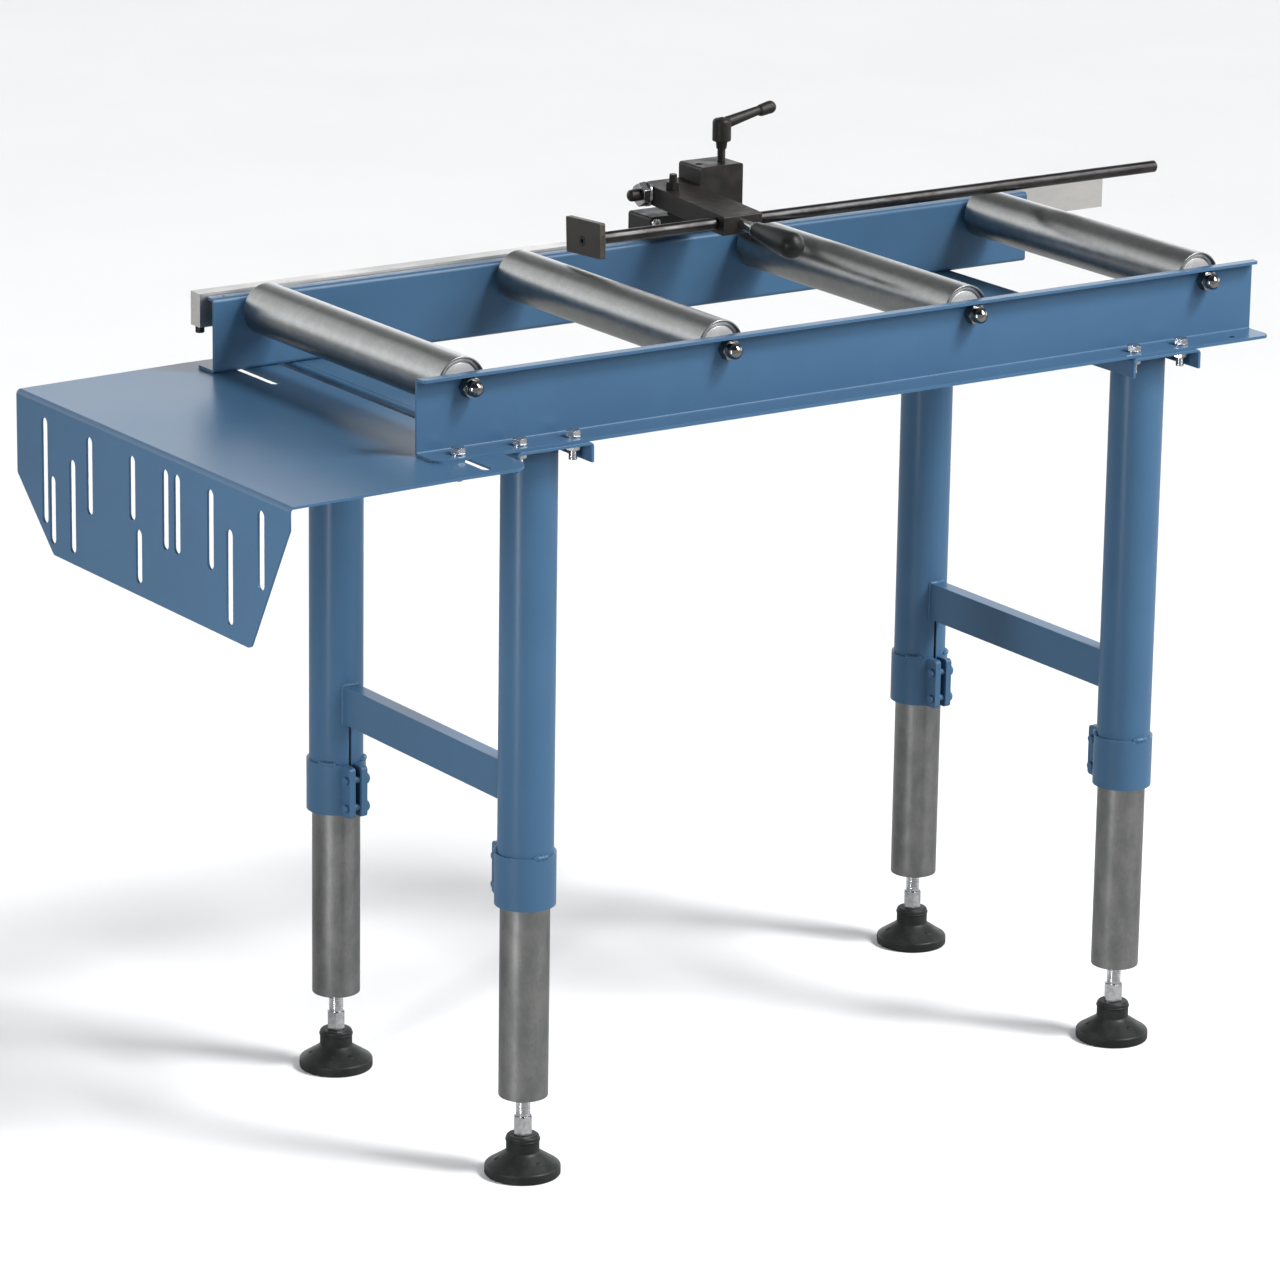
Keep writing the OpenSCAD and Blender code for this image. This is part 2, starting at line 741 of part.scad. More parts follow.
// Tray: one sheet, bent down at its left edge into the slotted apron
module tray() {
  x_face = -tray_out;
  x_bend = x_face + tray_bend_r;
  inner_r = tray_bend_r - tray_t;
  color("steelblue") difference() {
    union() {
      translate([0, 0, -tray_t]) linear_extrude(tray_t) round_poly(
        [[0, tray_y0], [tray_in, tray_y0], [tray_in, tray_y1], [0, tray_y1]],
        [0, tray_corner_r, tray_corner_r, 0]
      );
      translate([0, tray_y0, 0]) along_y(tray_y1 - tray_y0) polygon([
        [0, 0], [0, -tray_t], [x_bend, -tray_drop - tray_t], [x_bend, -tray_drop]
      ]);
      translate([x_bend, tray_y0, -tray_drop - tray_bend_r]) along_y(tray_y1 - tray_y0)
        intersection() {
          difference() {
            circle(r = tray_bend_r);
            circle(r = inner_r);
          }
          translate([-tray_bend_r - cut, 0]) square(tray_bend_r + cut);
        }
      translate([x_face, 0, -tray_drop]) along_x(tray_t) round_poly(
        [[tray_y0, -tray_bend_r], [tray_y0, -apron_front_drop],
         [tray_y0 + apron_front_in, -apron_h], [tray_y1 - apron_back_in, -apron_h],
         [tray_y1, -apron_back_drop], [tray_y1, -tray_bend_r]],
        [0, 0, apron_front_r, apron_back_r, apron_back_r, 0]
      );
    }
    for (s = apron_slots)
      translate([x_face - cut, s[0], -tray_drop - s[2]]) along_x(tray_t + 2 * cut)
        slot(apron_slot_w, s[2] - s[1]);
    for (y = [-bolt_y - front_slot_over, bolt_y + back_slot_over - cross_slot_len])
      translate([cross_slot_x, y, -tray_t - cut]) linear_extrude(tray_t + 2 * cut)
        slot(cross_slot_w, cross_slot_len);
  }
}

// Hexagon bolt with its washer and nut: from the rail's bottom flange down to low_z, the nut
// against the face at nut_z
module bolt_set(x, y, low_z, nut_z) {
  top_z = rail_t;
  translate([x, y, top_z]) {
    difference() {
      cylinder(d = washer_d, h = washer_t);
      translate([0, 0, -cut]) cylinder(d = screw_d + 2 * run_fit, h = washer_t + 2 * cut);
    }
    translate([0, 0, washer_t]) hexagon(screw_af, head_h);
  }
  translate([x, y, low_z]) cylinder(d = screw_d, h = top_z + washer_t - low_z);
  translate([x, y, nut_z - nut_h]) hex_nut(screw_af, nut_h, screw_d + 2 * run_fit);
}
module tray_bolts() {
  color("silver") for (s = [-1, 1])
    bolt_set(cross_slot_x, s * bolt_y, -tray_t - tray_bolt_drop, -tray_t);
}
module frame_bolts() {
  color("silver") for (x = bolt_xs, s = [-1, 1])
    bolt_set(x, s * bolt_y, -bolt_drop, -beam_t);
}

// Puts a piece of a back leg, drawn about the leg's axis, at the back or front leg at x
module at_leg(x, front) {
  if (front) mirror([0, 1, 0]) translate([x, leg_y, 0]) children();
  else translate([x, leg_y, 0]) children();
}
// Head beam over the legs at leg_x: an inverted channel across the stand
module head_beam(leg_x) {
  x = leg_x - beam_shift;
  w = beam_w / 2;
  l = 2 * (bolt_y + beam_over);
  inner_r = beam_bend_r - beam_t;
  color("steelblue") difference() {
    translate([x, -l / 2, 0]) along_y(l) difference() {
      round_poly([[-w, -beam_h], [w, -beam_h], [w, 0], [-w, 0]], [0, 0, beam_bend_r, beam_bend_r]);
      round_poly(
        [[beam_t - w, -beam_h - cut], [w - beam_t, -beam_h - cut],
         [w - beam_t, -beam_t], [beam_t - w, -beam_t]],
        [0, 0, inner_r, inner_r]
      );
    }
    for (dx = [-1, 1], s = [-1, 1])
      translate([x + dx * beam_bolt_x, s * bolt_y, -beam_t - cut])
        cylinder(d = screw_d + 2 * hole_fit, h = beam_t + 2 * cut);
  }
}
// Upper tube of a back leg: its slit and its collar's ears face the other leg
module upper_tube() {
  color("steelblue") difference() {
    translate([0, 0, collar_z]) cylinder(d = upper_d, h = upper_drop - beam_t);
    translate([0, 0, collar_z - cut]) cylinder(d = upper_bore, h = upper_drop + 2 * cut);
    translate([-slit_w / 2, -upper_d, collar_z - cut])
      cube([slit_w, upper_d, upper_drop - cross_drop + cut]);
  }
}
module cross_bar(x) {
  z = -cross_drop;
  color("steelblue") difference() {
    translate([x - cross_w / 2, -leg_y, z]) cube([cross_w, 2 * leg_y, cross_h]);
    translate([x - cross_w / 2 + cross_wall, -leg_y - cut, z + cross_wall])
      cube([cross_w - 2 * cross_wall, 2 * leg_y + 2 * cut, cross_h - 2 * cross_wall]);
    for (s = [-1, 1])
      translate([x, s * leg_y, z - cut]) cylinder(d = upper_d + 2 * run_fit, h = cross_h + 2 * cut);
  }
}
// Clamp collar of a back leg: its ears run well into the ring
module collar() {
  bore = upper_d + 2 * run_fit;
  ear_l = ear_reach - ear_root * upper_d / 2;
  color("steelblue") difference() {
    union() {
      translate([0, 0, collar_z]) cylinder(d = bore + 2 * collar_wall, h = collar_h);
      translate([-ear_x, -ear_reach, collar_z]) along_x(2 * ear_x) round_poly(
        [[0, 0], [ear_l, 0], [ear_l, collar_h], [0, collar_h]],
        [ear_r, 0, 0, ear_r]
      );
    }
    translate([0, 0, collar_z - cut]) cylinder(d = bore, h = collar_h + 2 * cut);
    translate([-collar_gap / 2, -ear_reach - cut, collar_z - cut])
      cube([collar_gap, ear_reach, collar_h + 2 * cut]);
    for (z = ear_screw_zs)
      translate([-ear_x - cut, -ear_screw_y, z]) cyl_x(screw_d + 2 * hole_fit, 2 * ear_x + 2 * cut);
  }
}
// Button-head screw with its head at z >= 0 and a shank of length l below
module button_screw(l) {
  h = button_h;
  r = button_d / 2;
  crown = r * button_crown;
  difference() {
    union() {
      rotate_extrude() polygon(concat(
        [[0, 0], [r, 0]], [for (a = [10:10:80]) [(r - crown) * cos(a) + crown, h * sin(a)]],
        [[crown, h], [0, h]]
      ));
      translate([0, 0, -l]) cylinder(d = screw_d, h = l + h / 2);
    }
    translate([0, 0, h - button_key_depth])
      cylinder(d = button_key / cos(30), h = button_key_depth + cut, $fn = 6);
  }
}
module collar_screws() {
  color("black") for (x = leg_xs, front = [false, true], z = ear_screw_zs)
    at_leg(x, front) translate([ear_x, -ear_screw_y, z]) rotate([0, 90, 0])
      button_screw(2 * ear_x + button_over);
}

// Inner tube of a back leg, which slides in the upper tube
module inner_tube() {
  color("lightgray") translate([0, 0, tube_low]) difference() {
    cylinder(d = inner_d, h = inner_len);
    translate([0, 0, -cut]) cylinder(d = inner_bore, h = inner_len + 2 * cut);
  }
}
module tube_plug() {
  color("dimgray") translate([0, 0, tube_low]) difference() {
    cylinder(d = inner_bore - 2 * run_fit, h = plug_len);
    translate([0, 0, -cut]) cylinder(d = stem_d + 2 * run_fit, h = plug_len + 2 * cut);
  }
}
module foot_stem() {
  color("silver") {
    translate([0, 0, hex_low - stem_socket + slide_fit])
      cylinder(d = stem_d, h = stem_socket - slide_fit + stem_hex_h / 2);
    translate([0, 0, hex_low + slide_fit]) hexagon(stem_af, stem_hex_h - slide_fit, true);
    translate([0, 0, hex_low + stem_hex_h / 2])
      cylinder(d = stem_d, h = stem_hex_h / 2 + stem_show + stem_in - stem_tip_h);
    translate([0, 0, hex_low + stem_hex_h + stem_show + stem_in - stem_tip_h])
      cylinder(d1 = stem_d, d2 = stem_d - 2 * stem_tip_h, h = stem_tip_h);
  }
}
// Foot pad: a hollowed rim, a cone up to the hub, and a blind socket for the stem
module foot_pad() {
  r = pad_d / 2;
  hub_r = hub_d / 2;
  bore_r = stem_d / 2 + run_fit;
  color("black") translate([0, 0, floor_z]) rotate_extrude() polygon(concat(
    [[0, pad_hollow_h], [r - pad_hollow_in, pad_hollow_h],
     [r - pad_hollow_in + pad_hollow_flare, 0]],
    arc(r - pad_edge_r, pad_edge_r, pad_edge_r, -90, 0, 4),
    arc(r - pad_rim_r, pad_rim_h - pad_rim_r, pad_rim_r, 0, pad_rim_turn, 5),
    [[hub_r + cone_fillet_w, pad_cone_h - cone_fillet_low],
     [hub_r, pad_cone_h + cone_fillet_high]],
    arc(hub_r - pad_rim_r, pad_h - pad_rim_r, pad_rim_r, 0, 90, 6),
    [[bore_r, pad_h], [bore_r, pad_rim_h], [0, pad_rim_h]]
  ));
}

// Stop bar along the outside of the back rail
module stop_bar() {
  color("darkgray") difference() {
    translate([-bar_left, bar_y, bar_low]) cube([bar_left + rail_len + bar_right, bar_t, bar_h]);
    for (x = spacer_xs) translate([x, bar_y - cut, bar_fix_z]) {
      cyl_y(bar_screw_d + 2 * hole_fit, bar_t + 2 * cut);
      translate([0, bar_t + cut - bar_screw_head_h - head_play, 0])
        cyl_y(bar_screw_head_d + 2 * head_play, bar_t);
    }
    translate([end_screw_x, end_screw_y, bar_low - cut])
      cylinder(d = end_screw_d + 2 * run_fit, h = end_screw_in + cut);
  }
}
module bar_spacers() {
  l = bar_y - web_out_y;
  color("dimgray") for (x = spacer_xs) translate([x, web_out_y, bar_fix_z]) difference() {
    cyl_y(spacer_d, l);
    translate([0, spacer_end_wall, 0]) cyl_y(bar_screw_d + 2 * run_fit, l);
  }
}
// Cylindrical screw head at z >= 0 with a hexagon socket
module socket_head(d, h, key) {
  difference() {
    rotate_extrude() polygon([
      [0, 0], [d / 2, 0], [d / 2, h - socket_bevel], [d / 2 - socket_bevel, h], [0, h]
    ]);
    translate([0, 0, h / 2]) cylinder(d = key / cos(30), h = h, $fn = 6);
  }
}
// Socket screws behind the bar, and the end screw that stops the carriage's lip
module bar_screws() {
  head_y = bar_y + bar_t - bar_screw_head_h;
  tip_y = web_out_y + spacer_end_wall + spacer_tip_gap;
  color("black") {
    for (x = spacer_xs) {
      translate([x, head_y, bar_fix_z]) rotate([-90, 0, 0])
        socket_head(bar_screw_head_d, bar_screw_head_h, bar_screw_key);
      translate([x, tip_y, bar_fix_z]) cyl_y(bar_screw_d, head_y - tip_y);
    }
    translate([end_screw_x, end_screw_y, bar_low]) {
      mirror([0, 0, 1]) socket_head(end_head_d, end_head_h, end_screw_key);
      cylinder(d = end_screw_d, h = end_screw_in - slide_fit);
    }
  }
}

// Carriage: a stepped block that rides on the bar and hooks round its back
module carriage() {
  step_z = car_step;
  hook_y = bar_y + bar_t + slide_fit;
  lip_z = bar_low - slide_fit - lip_t;
  color("dimgray") difference() {
    union() {
      translate([0, car_front, 0]) along_y(car_depth) round_poly(
        [[car_x, car_low], [car_end, car_low], [car_end, tower_top], [tower_x, tower_top],
         [tower_x, step_z], [car_x, step_z]],
        [0, 0, car_edge_r, car_edge_r, 0, car_edge_r]
      );
      translate([car_x, 0, 0]) along_x(car_len) polygon([
        [bar_y + lip_start, lip_z], [car_back, lip_z], [car_back, car_low + cut], [hook_y, car_low + cut],
        [hook_y, bar_low - slide_fit], [bar_y + lip_start, bar_low - slide_fit]
      ]);
    }
    translate([stud_x, bar_mid_y, car_low - cut])
      cylinder(d = stud_d + 2 * run_fit, h = tower_top - car_low + 2 * cut);
    translate([tower_x + tower_hole_in, bar_mid_y, tower_top - tower_hole_depth])
      cylinder(d = tower_hole_d, h = tower_hole_depth + cut);
    translate([tower_x - cut, pivot_y, pivot_z])
      cyl_x(pivot_d + 2 * run_fit, pivot_in_tower + cut);
    translate([car_x + set_x, car_front - cut, set_z])
      cyl_y(set_d + 2 * run_fit, set_in + cut + slide_fit);
  }
}
module carriage_screw() {
  color("silver") translate([car_x + set_x, car_front, set_z]) {
    rotate([90, 0, 0]) socket_head(set_head_d, set_head_h, set_key);
    cyl_y(set_d, set_in);
  }
}

// Clamping stud: it passes down through the tower and bears on the bar
module clamp_stud() {
  tip_z = bar_top + slide_fit;
  color("black") translate([stud_x, bar_mid_y, tip_z])
    cylinder(d = stud_d, h = hub_z + lever_hub_h / 3 - tip_z);
}
// Round bar of length l along +Z, tapering from radius r1 to r2, with a round end beyond each end
module round_bar(r1, r2, l) {
  rotate_extrude() polygon(concat(
    [for (a = [-90:15:0]) [r1 * cos(a), r1 * sin(a)]],
    [for (a = [0:15:90]) [r2 * cos(a), l + r2 * sin(a)]]
  ));
}
module bar_between(p0, p1, r1, r2) {
  d = p1 - p0;
  translate(p0) rotate([0, atan2(d[0], d[2]), 0]) round_bar(r1, r2, norm(d));
}
// Clamping lever: hub, neck below it, and a bent arm that rises to the right
module clamp_lever() {
  hub_r = lever_hub_d / 2;
  arm_z = lever_hub_h * lever_arm_at;
  neck_d = stud_d + lever_neck_over;
  mid = [lever_reach * lever_mid_at, 0, arm_z + lever_rise * lever_mid_rise];
  tip = [lever_reach, 0, arm_z + lever_rise];
  color("black") translate([stud_x, bar_mid_y, hub_z]) difference() {
    union() {
      translate([0, 0, -lever_neck_h])
        cylinder(d1 = neck_d, d2 = neck_d + lever_neck_flare, h = lever_neck_h + cut);
      rotate_extrude() polygon(concat(
        [[0, 0], [hub_r - hub_bevel, 0], [hub_r, hub_bevel]],
        arc(hub_r - hub_crown_r, lever_hub_h - hub_crown_r, hub_crown_r, 0, 90, 4),
        [[0, lever_hub_h + hub_crown_rise]]
      ));
      bar_between([lever_neck_r, 0, arm_z], mid, lever_root_r, lever_neck_r);
      bar_between(mid + [lever_neck_r, 0, 0], tip, lever_end_r1, lever_end_r2);
    }
    translate([0, 0, -lever_neck_h - cut])
      cylinder(d = stud_d + 2 * run_fit, h = lever_neck_h + cut + lever_hub_h / 3 + slide_fit);
  }
}

// Flip-up arm. Inside on_arm(), +X runs along the bar, +Y from the pivot towards the arm's tip,
// and +Z out of its upper face
module on_arm() {
  translate([0, pivot_y, pivot_z]) rotate([arm_tilt, 0, 0]) mirror([0, 1, 0]) children();
}
module stop_arm() {
  edge = 1.5;
  heel_r = 4;
  color("dimgray") on_arm() difference() {
    translate([arm_x0, 0, 0]) along_x(arm_w) round_poly(
      [[-pivot_end, -arm_t / 2], [arm_tip, -arm_t / 2],
       [arm_tip, arm_t / 2], [-pivot_end, arm_t / 2]],
      [heel_r, edge, edge, edge]
    );
    translate([arm_x0 - cut, 0, 0]) cyl_x(pivot_d + 2 * run_fit, arm_w + 2 * cut);
    translate([arm_x0 - cut, rod_reach, 0]) cyl_x(rod_d + 2 * run_fit, arm_w + 2 * cut);
    translate([arm_x0 + arm_w / 2, rod_reach, 0]) cyl_y(grip_stud_d + 2 * run_fit, rod_tip + cut);
    translate([arm_x0 + rest_x, rest_y, -arm_t]) cylinder(d = rest_d + 2 * run_fit, h = 2 * arm_t);
  }
}
module pivot_bolt() {
  end_x = washer_x - pivot_washer_t - washer_gap - pivot_nut_h - pivot_out;
  l = tower_x + pivot_in_tower - slide_fit - end_x;
  dome = pivot_d / 4;
  color("black") translate([end_x, pivot_y, pivot_z]) rotate([0, 90, 0]) rotate_extrude()
    polygon(concat(
      [[0, l], [pivot_d / 2, l]],
      [for (a = [0:15:90]) [pivot_d / 2 * cos(a), dome - dome * sin(a)]]
    ));
}
module pivot_nut() {
  bore = pivot_d + 2 * run_fit;
  color("silver") translate([washer_x, pivot_y, pivot_z]) rotate([0, -90, 0]) {
    difference() {
      cylinder(d = pivot_washer_d, h = pivot_washer_t);
      translate([0, 0, -cut]) cylinder(d = bore, h = pivot_washer_t + 2 * cut);
    }
    translate([0, 0, pivot_washer_t + washer_gap]) hex_nut(pivot_af, pivot_nut_h, bore);
  }
}
// Rest screw with its lock nut: the tip meets the carriage's low part
module rest_screw() {
  rest_nut_h = 8;
  // Height of the arm's middle line over the low part at the screw, measured along the screw
  drop = (pivot_up - rest_y * sin(arm_tilt)) / cos(arm_tilt);
  tip = -drop + slide_fit + rest_d / 2 * sin(arm_tilt);
  color("black") on_arm() translate([arm_x0 + rest_x, rest_y, 0]) {
    translate([0, 0, tip]) cylinder(d = rest_d, h = arm_t / 2 + rest_nut_h + rest_out - tip);
    translate([0, 0, arm_t / 2]) hex_nut(screw_af, rest_nut_h, rest_d + 2 * run_fit);
  }
}

module stop_rod() {
  bevel_len = 1.5;
  l = rod_len - plate_t;
  color("dimgray") translate([rod_x0 + plate_t, rod_y, rod_z]) difference() {
    union() {
      cyl_x(rod_d, l - bevel_len);
      translate([l - bevel_len, 0, 0]) rotate([0, 90, 0])
        cylinder(d1 = rod_d, d2 = rod_d - 2 * bevel_len, h = bevel_len);
    }
    translate([-cut, 0, 0]) cyl_x(plate_screw_d + 2 * run_fit, plate_screw_in + cut + slide_fit);
  }
}
module stop_plate() {
  color("dimgray") translate([rod_x0, rod_y, rod_z]) rotate([-plate_tilt, 0, 0]) difference() {
    along_x(plate_t) round_poly(
      [[-plate_front, -plate_low], [plate_w - plate_front, -plate_low],
       [plate_w - plate_front, plate_h - plate_low], [-plate_front, plate_h - plate_low]],
      [plate_r, plate_r, plate_r, plate_r]
    );
    translate([-cut, 0, 0]) cyl_x(plate_screw_d + 2 * run_fit, plate_t + 2 * cut);
    translate([-hair, 0, 0]) rotate([0, 90, 0])
      cylinder(d1 = plate_head_d + 2 * run_fit, d2 = plate_screw_d + 2 * run_fit, h = plate_head_h);
  }
}
module plate_screw() {
  color("silver") translate([rod_x0, rod_y, rod_z]) rotate([0, 90, 0]) difference() {
    union() {
      cylinder(d1 = plate_head_d, d2 = plate_screw_d, h = plate_head_h);
      cylinder(d = plate_screw_d, h = plate_t + plate_screw_in);
    }
    translate([0, 0, -cut]) cylinder(d = plate_key / cos(30), h = cut + plate_key_depth, $fn = 6);
  }
}
// Stud that passes through the arm's tip and presses on the rod
module grip_stud() {
  from = rod_reach + rod_d / 2 + slide_fit;
  color("silver") on_arm() translate([arm_x0 + arm_w / 2, from, 0])
    cyl_y(grip_stud_d, grip_start + grip_socket - from);
}
module grip() {
  r1 = grip_d1 / 2;
  r2 = grip_d2 / 2;
  body = grip_len - r2;
  color("black") on_arm() translate([arm_x0 + arm_w / 2, grip_start, 0]) rotate([-90, 0, 0])
  difference() {
    rotate_extrude() polygon(concat(
      [[0, 0], [r1 - grip_bevel, 0], [r1, grip_bevel]],
      [for (k = [0.1:0.1:1]) [r1 + (r2 - r1) * sin(90 * k), grip_bevel + (body - grip_bevel) * k]],
      [for (a = [10:10:90]) [r2 * cos(a), body + r2 * sin(a)]]
    ));
    translate([0, 0, -cut]) cylinder(d = grip_stud_d + 2 * run_fit, h = grip_socket + slide_fit + cut);
  }
}

place() front_rail();
place() back_rail();
place() roller_tube(0);  // roller_tube_1
place() roller_tube(1);  // roller_tube_2
place() roller_tube(2);  // roller_tube_3
place() roller_tube(3);  // roller_tube_4
place() roller_end_pair(0);  // roller_end_1
place() roller_end_pair(1);  // roller_end_2
place() roller_end_pair(2);  // roller_end_3
place() roller_end_pair(3);  // roller_end_4
place() axles();
place() axle_nuts();
place() tray();
place() tray_bolts();
place() head_beam(leg_xs[0]);  // head_beam_left
place() head_beam(leg_xs[1]);  // head_beam_right
place() at_leg(leg_xs[0], true) upper_tube();  // upper_tube_fl
place() at_leg(leg_xs[0], false) upper_tube();  // upper_tube_bl
place() at_leg(leg_xs[1], true) upper_tube();  // upper_tube_fr
place() at_leg(leg_xs[1], false) upper_tube();  // upper_tube_br
place() cross_bar(leg_xs[0]);  // cross_bar_left
place() cross_bar(leg_xs[1]);  // cross_bar_right
place() at_leg(leg_xs[0], true) collar();  // collar_fl
place() at_leg(leg_xs[0], false) collar();  // collar_bl
place() at_leg(leg_xs[1], true) collar();  // collar_fr
place() at_leg(leg_xs[1], false) collar();  // collar_br
place() collar_screws();
place() frame_bolts();
place() at_leg(leg_xs[0], true) inner_tube();  // inner_tube_fl
place() at_leg(leg_xs[0], false) inner_tube();  // inner_tube_bl
place() at_leg(leg_xs[1], true) inner_tube();  // inner_tube_fr
place() at_leg(leg_xs[1], false) inner_tube();  // inner_tube_br
place() at_leg(leg_xs[0], true) tube_plug();  // tube_plug_fl
place() at_leg(leg_xs[0], false) tube_plug();  // tube_plug_bl
place() at_leg(leg_xs[1], true) tube_plug();  // tube_plug_fr
place() at_leg(leg_xs[1], false) tube_plug();  // tube_plug_br
place() at_leg(leg_xs[0], true) foot_stem();  // foot_stem_fl
place() at_leg(leg_xs[0], false) foot_stem();  // foot_stem_bl
place() at_leg(leg_xs[1], true) foot_stem();  // foot_stem_fr
place() at_leg(leg_xs[1], false) foot_stem();  // foot_stem_br
place() at_leg(leg_xs[0], true) foot_pad();  // foot_pad_fl
place() at_leg(leg_xs[0], false) foot_pad();  // foot_pad_bl
place() at_leg(leg_xs[1], true) foot_pad();  // foot_pad_fr
place() at_leg(leg_xs[1], false) foot_pad();  // foot_pad_br
place() stop_bar();
place() bar_spacers();
place() bar_screws();
place() carriage();
place() carriage_screw();
place() clamp_stud();
place() clamp_lever();
place() stop_arm();
place() pivot_bolt();
place() pivot_nut();
place() rest_screw();
place() stop_rod();
place() stop_plate();
place() plate_screw();
place() grip_stud();
place() grip();
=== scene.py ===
"""Roller stand with four rollers, a slotted tray, telescopic legs and a flip-up length stop.

The CAD frame gives every piece its shape and place. This file gives the pieces their finishes,
adds the fine work that the solids leave out, such as weld beads and screw threads, replaces the
plain grip by a pear-shaped one, and sets up the studio.
"""
import json
import math
import random

import bmesh
import bpy
from bpy.props import FloatProperty, FloatVectorProperty, IntProperty, PointerProperty
from mathutils import Matrix, Vector


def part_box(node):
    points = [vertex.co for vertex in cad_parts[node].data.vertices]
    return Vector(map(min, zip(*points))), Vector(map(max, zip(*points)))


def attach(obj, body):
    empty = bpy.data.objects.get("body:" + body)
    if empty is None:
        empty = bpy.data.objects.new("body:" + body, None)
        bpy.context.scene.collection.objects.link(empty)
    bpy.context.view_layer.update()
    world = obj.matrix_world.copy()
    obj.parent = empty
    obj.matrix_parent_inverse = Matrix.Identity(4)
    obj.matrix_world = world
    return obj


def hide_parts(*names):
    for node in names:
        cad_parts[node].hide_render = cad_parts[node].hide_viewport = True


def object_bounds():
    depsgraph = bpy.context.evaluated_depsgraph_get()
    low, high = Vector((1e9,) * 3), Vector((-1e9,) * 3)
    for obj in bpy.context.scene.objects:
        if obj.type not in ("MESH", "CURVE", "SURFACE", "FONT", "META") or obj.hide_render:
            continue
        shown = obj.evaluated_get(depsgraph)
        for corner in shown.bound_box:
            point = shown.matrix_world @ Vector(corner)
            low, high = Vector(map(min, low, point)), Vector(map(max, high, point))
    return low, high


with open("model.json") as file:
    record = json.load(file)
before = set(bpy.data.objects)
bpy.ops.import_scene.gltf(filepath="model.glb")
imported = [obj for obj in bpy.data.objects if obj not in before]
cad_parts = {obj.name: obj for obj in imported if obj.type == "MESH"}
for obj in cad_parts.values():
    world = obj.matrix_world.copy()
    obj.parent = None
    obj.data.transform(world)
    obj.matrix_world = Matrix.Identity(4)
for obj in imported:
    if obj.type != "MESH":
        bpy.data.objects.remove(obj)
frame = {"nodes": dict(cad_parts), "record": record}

bl_info = {
    "name": "Roller stand",
    "version": (1, 0, 0),
    "blender": (4, 5, 0),
    "location": "3D View > Sidebar > Roller stand",
    "description": "Finishes, weld beads, threads and studio for the roller stand",
    "category": "Object",
}

LEGS = ("fl", "bl", "fr", "br")
ROLLERS = (1, 2, 3, 4)
CAD_BOX = [list(corner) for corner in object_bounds()]

# Camera: yaw, pitch and roll in degrees, place in metres, and the sensor's width in millimetres
CAMERA_TURN = (-34.217, -16.319, 0.873)
CAMERA_PLACE = (-3.292618, -4.707345, 2.133315)
SENSOR_WIDTH = 36.0

# Sockets of a Mix node that mixes colours: first and second input, and the result
MIX_FIRST, MIX_SECOND, MIX_RESULT = 6, 7, 2
# Range that a noise pattern hardly ever leaves
NOISE_LOW, NOISE_HIGH = 0.3, 0.7
# Cosine of the angle between the plain and the rounded normal, on a flat and on an edge
ON_FLAT, ON_EDGE = 0.998, 0.90

# Rounding of edges in metres, for pieces that the edge rounding setting leaves alone
ROUND_COUNTERSUNK = 0.0002
ROUND_SCREW = 0.0003
ROUND_TURNED = 0.0004
ROUND_ROLLER = 0.0005
ROUND_MOULDED = 0.0006
ROUND_MILLED = 0.0008
# Share by which the collars' edges are rounder than the other sheet metal's
COLLAR_ROUNDER = 1.4
# Corners closer than this are joined before rounding, and edges sharper than this are rounded
JOIN_REACH = 0.00001
SHARP_DEGREES = 40

# Weld bead: sides of its section, height over width, swing and step of its scales and their
# unevenness, and for an open bead the share of its radius at the ends and the rings to full size
BEAD_SIDES = 8
BEAD_FLATNESS = 0.8
SCALE_SWING, SCALE_STEP, SCALE_NOISE = 0.16, 2.1, 0.07
BEAD_END, BEAD_END_RINGS = 0.35, 2.5
# Steps of the ring weld round a tube head, and length of a step along a cross bar's weld
HEAD_WELD_STEPS = 90
BAR_WELD_STEP = 0.0019
# Tack welds: steps along one, place beyond the tube and over the collar, and turn from the slit
TACK_STEPS = 12
TACK_OUT, TACK_UP = 0.0008, 0.0006
TACK_TURN = 50
# Share of the weld bead's radius that the cross bars' welds and the tacks have
BAR_WELD_SHARE, TACK_SHARE = 0.85, 1.15
# Step between the random seeds of one leg's welds and the next one's
SEEDS_PER_LEG = 101

# Thread form: half widths of a ridge at root and crest as shares of the pitch, depth of its root
# below the shank, and turns over which it runs out at the ends
RIDGE_ROOT, RIDGE_CREST = 0.44, 0.07
ROOT_SINK = 0.00015
RUN_OUT_TURNS = 0.6
# Radii of the threaded shanks of bolts, foot stems and pivot bolt, and the pivot bolt's pitch
BOLT_R, STEM_R, PIVOT_R = 0.004, 0.007, 0.006
PIVOT_PITCH = 0.00175
# Shares of the thread height setting that small bolts and the other threads have
BOLT_THREAD, SCREW_THREAD = 0.6, 0.7
# Length of a bolt's end below its nut
BOLT_END = 0.0095
# Vertices this close to a bolt's lowest point and to its axis belong to its end
BOLT_END_BAND, BOLT_REACH = 0.0002, 0.012

# Bearing seal: radius and height of its section, and its depth below the housing's face
SEAL = ((0.0083, -0.0022), (0.0083, -0.0008), (0.0086, -0.0004),
        (0.0090, -0.0004), (0.0093, -0.0008), (0.0093, -0.0022))
SEAL_DEPTH = 0.0012

# Foot: top of the stem's hexagon over the pad, gap from it to the thread, reach of the thread
# into the inner tube, and radius of the pad's hub
HEXAGON_TOP = 0.0195
STEM_THREAD_GAP, STEM_THREAD_IN = 0.0022, 0.004
HUB_R = 0.0165
# Ridge round the hub: radius beyond the hub's, and depth below the pad's top
HUB_RIDGE = ((-0.001, 0.0062), (0.0006, 0.0058), (0.0008, 0.0046), (-0.001, 0.0042))
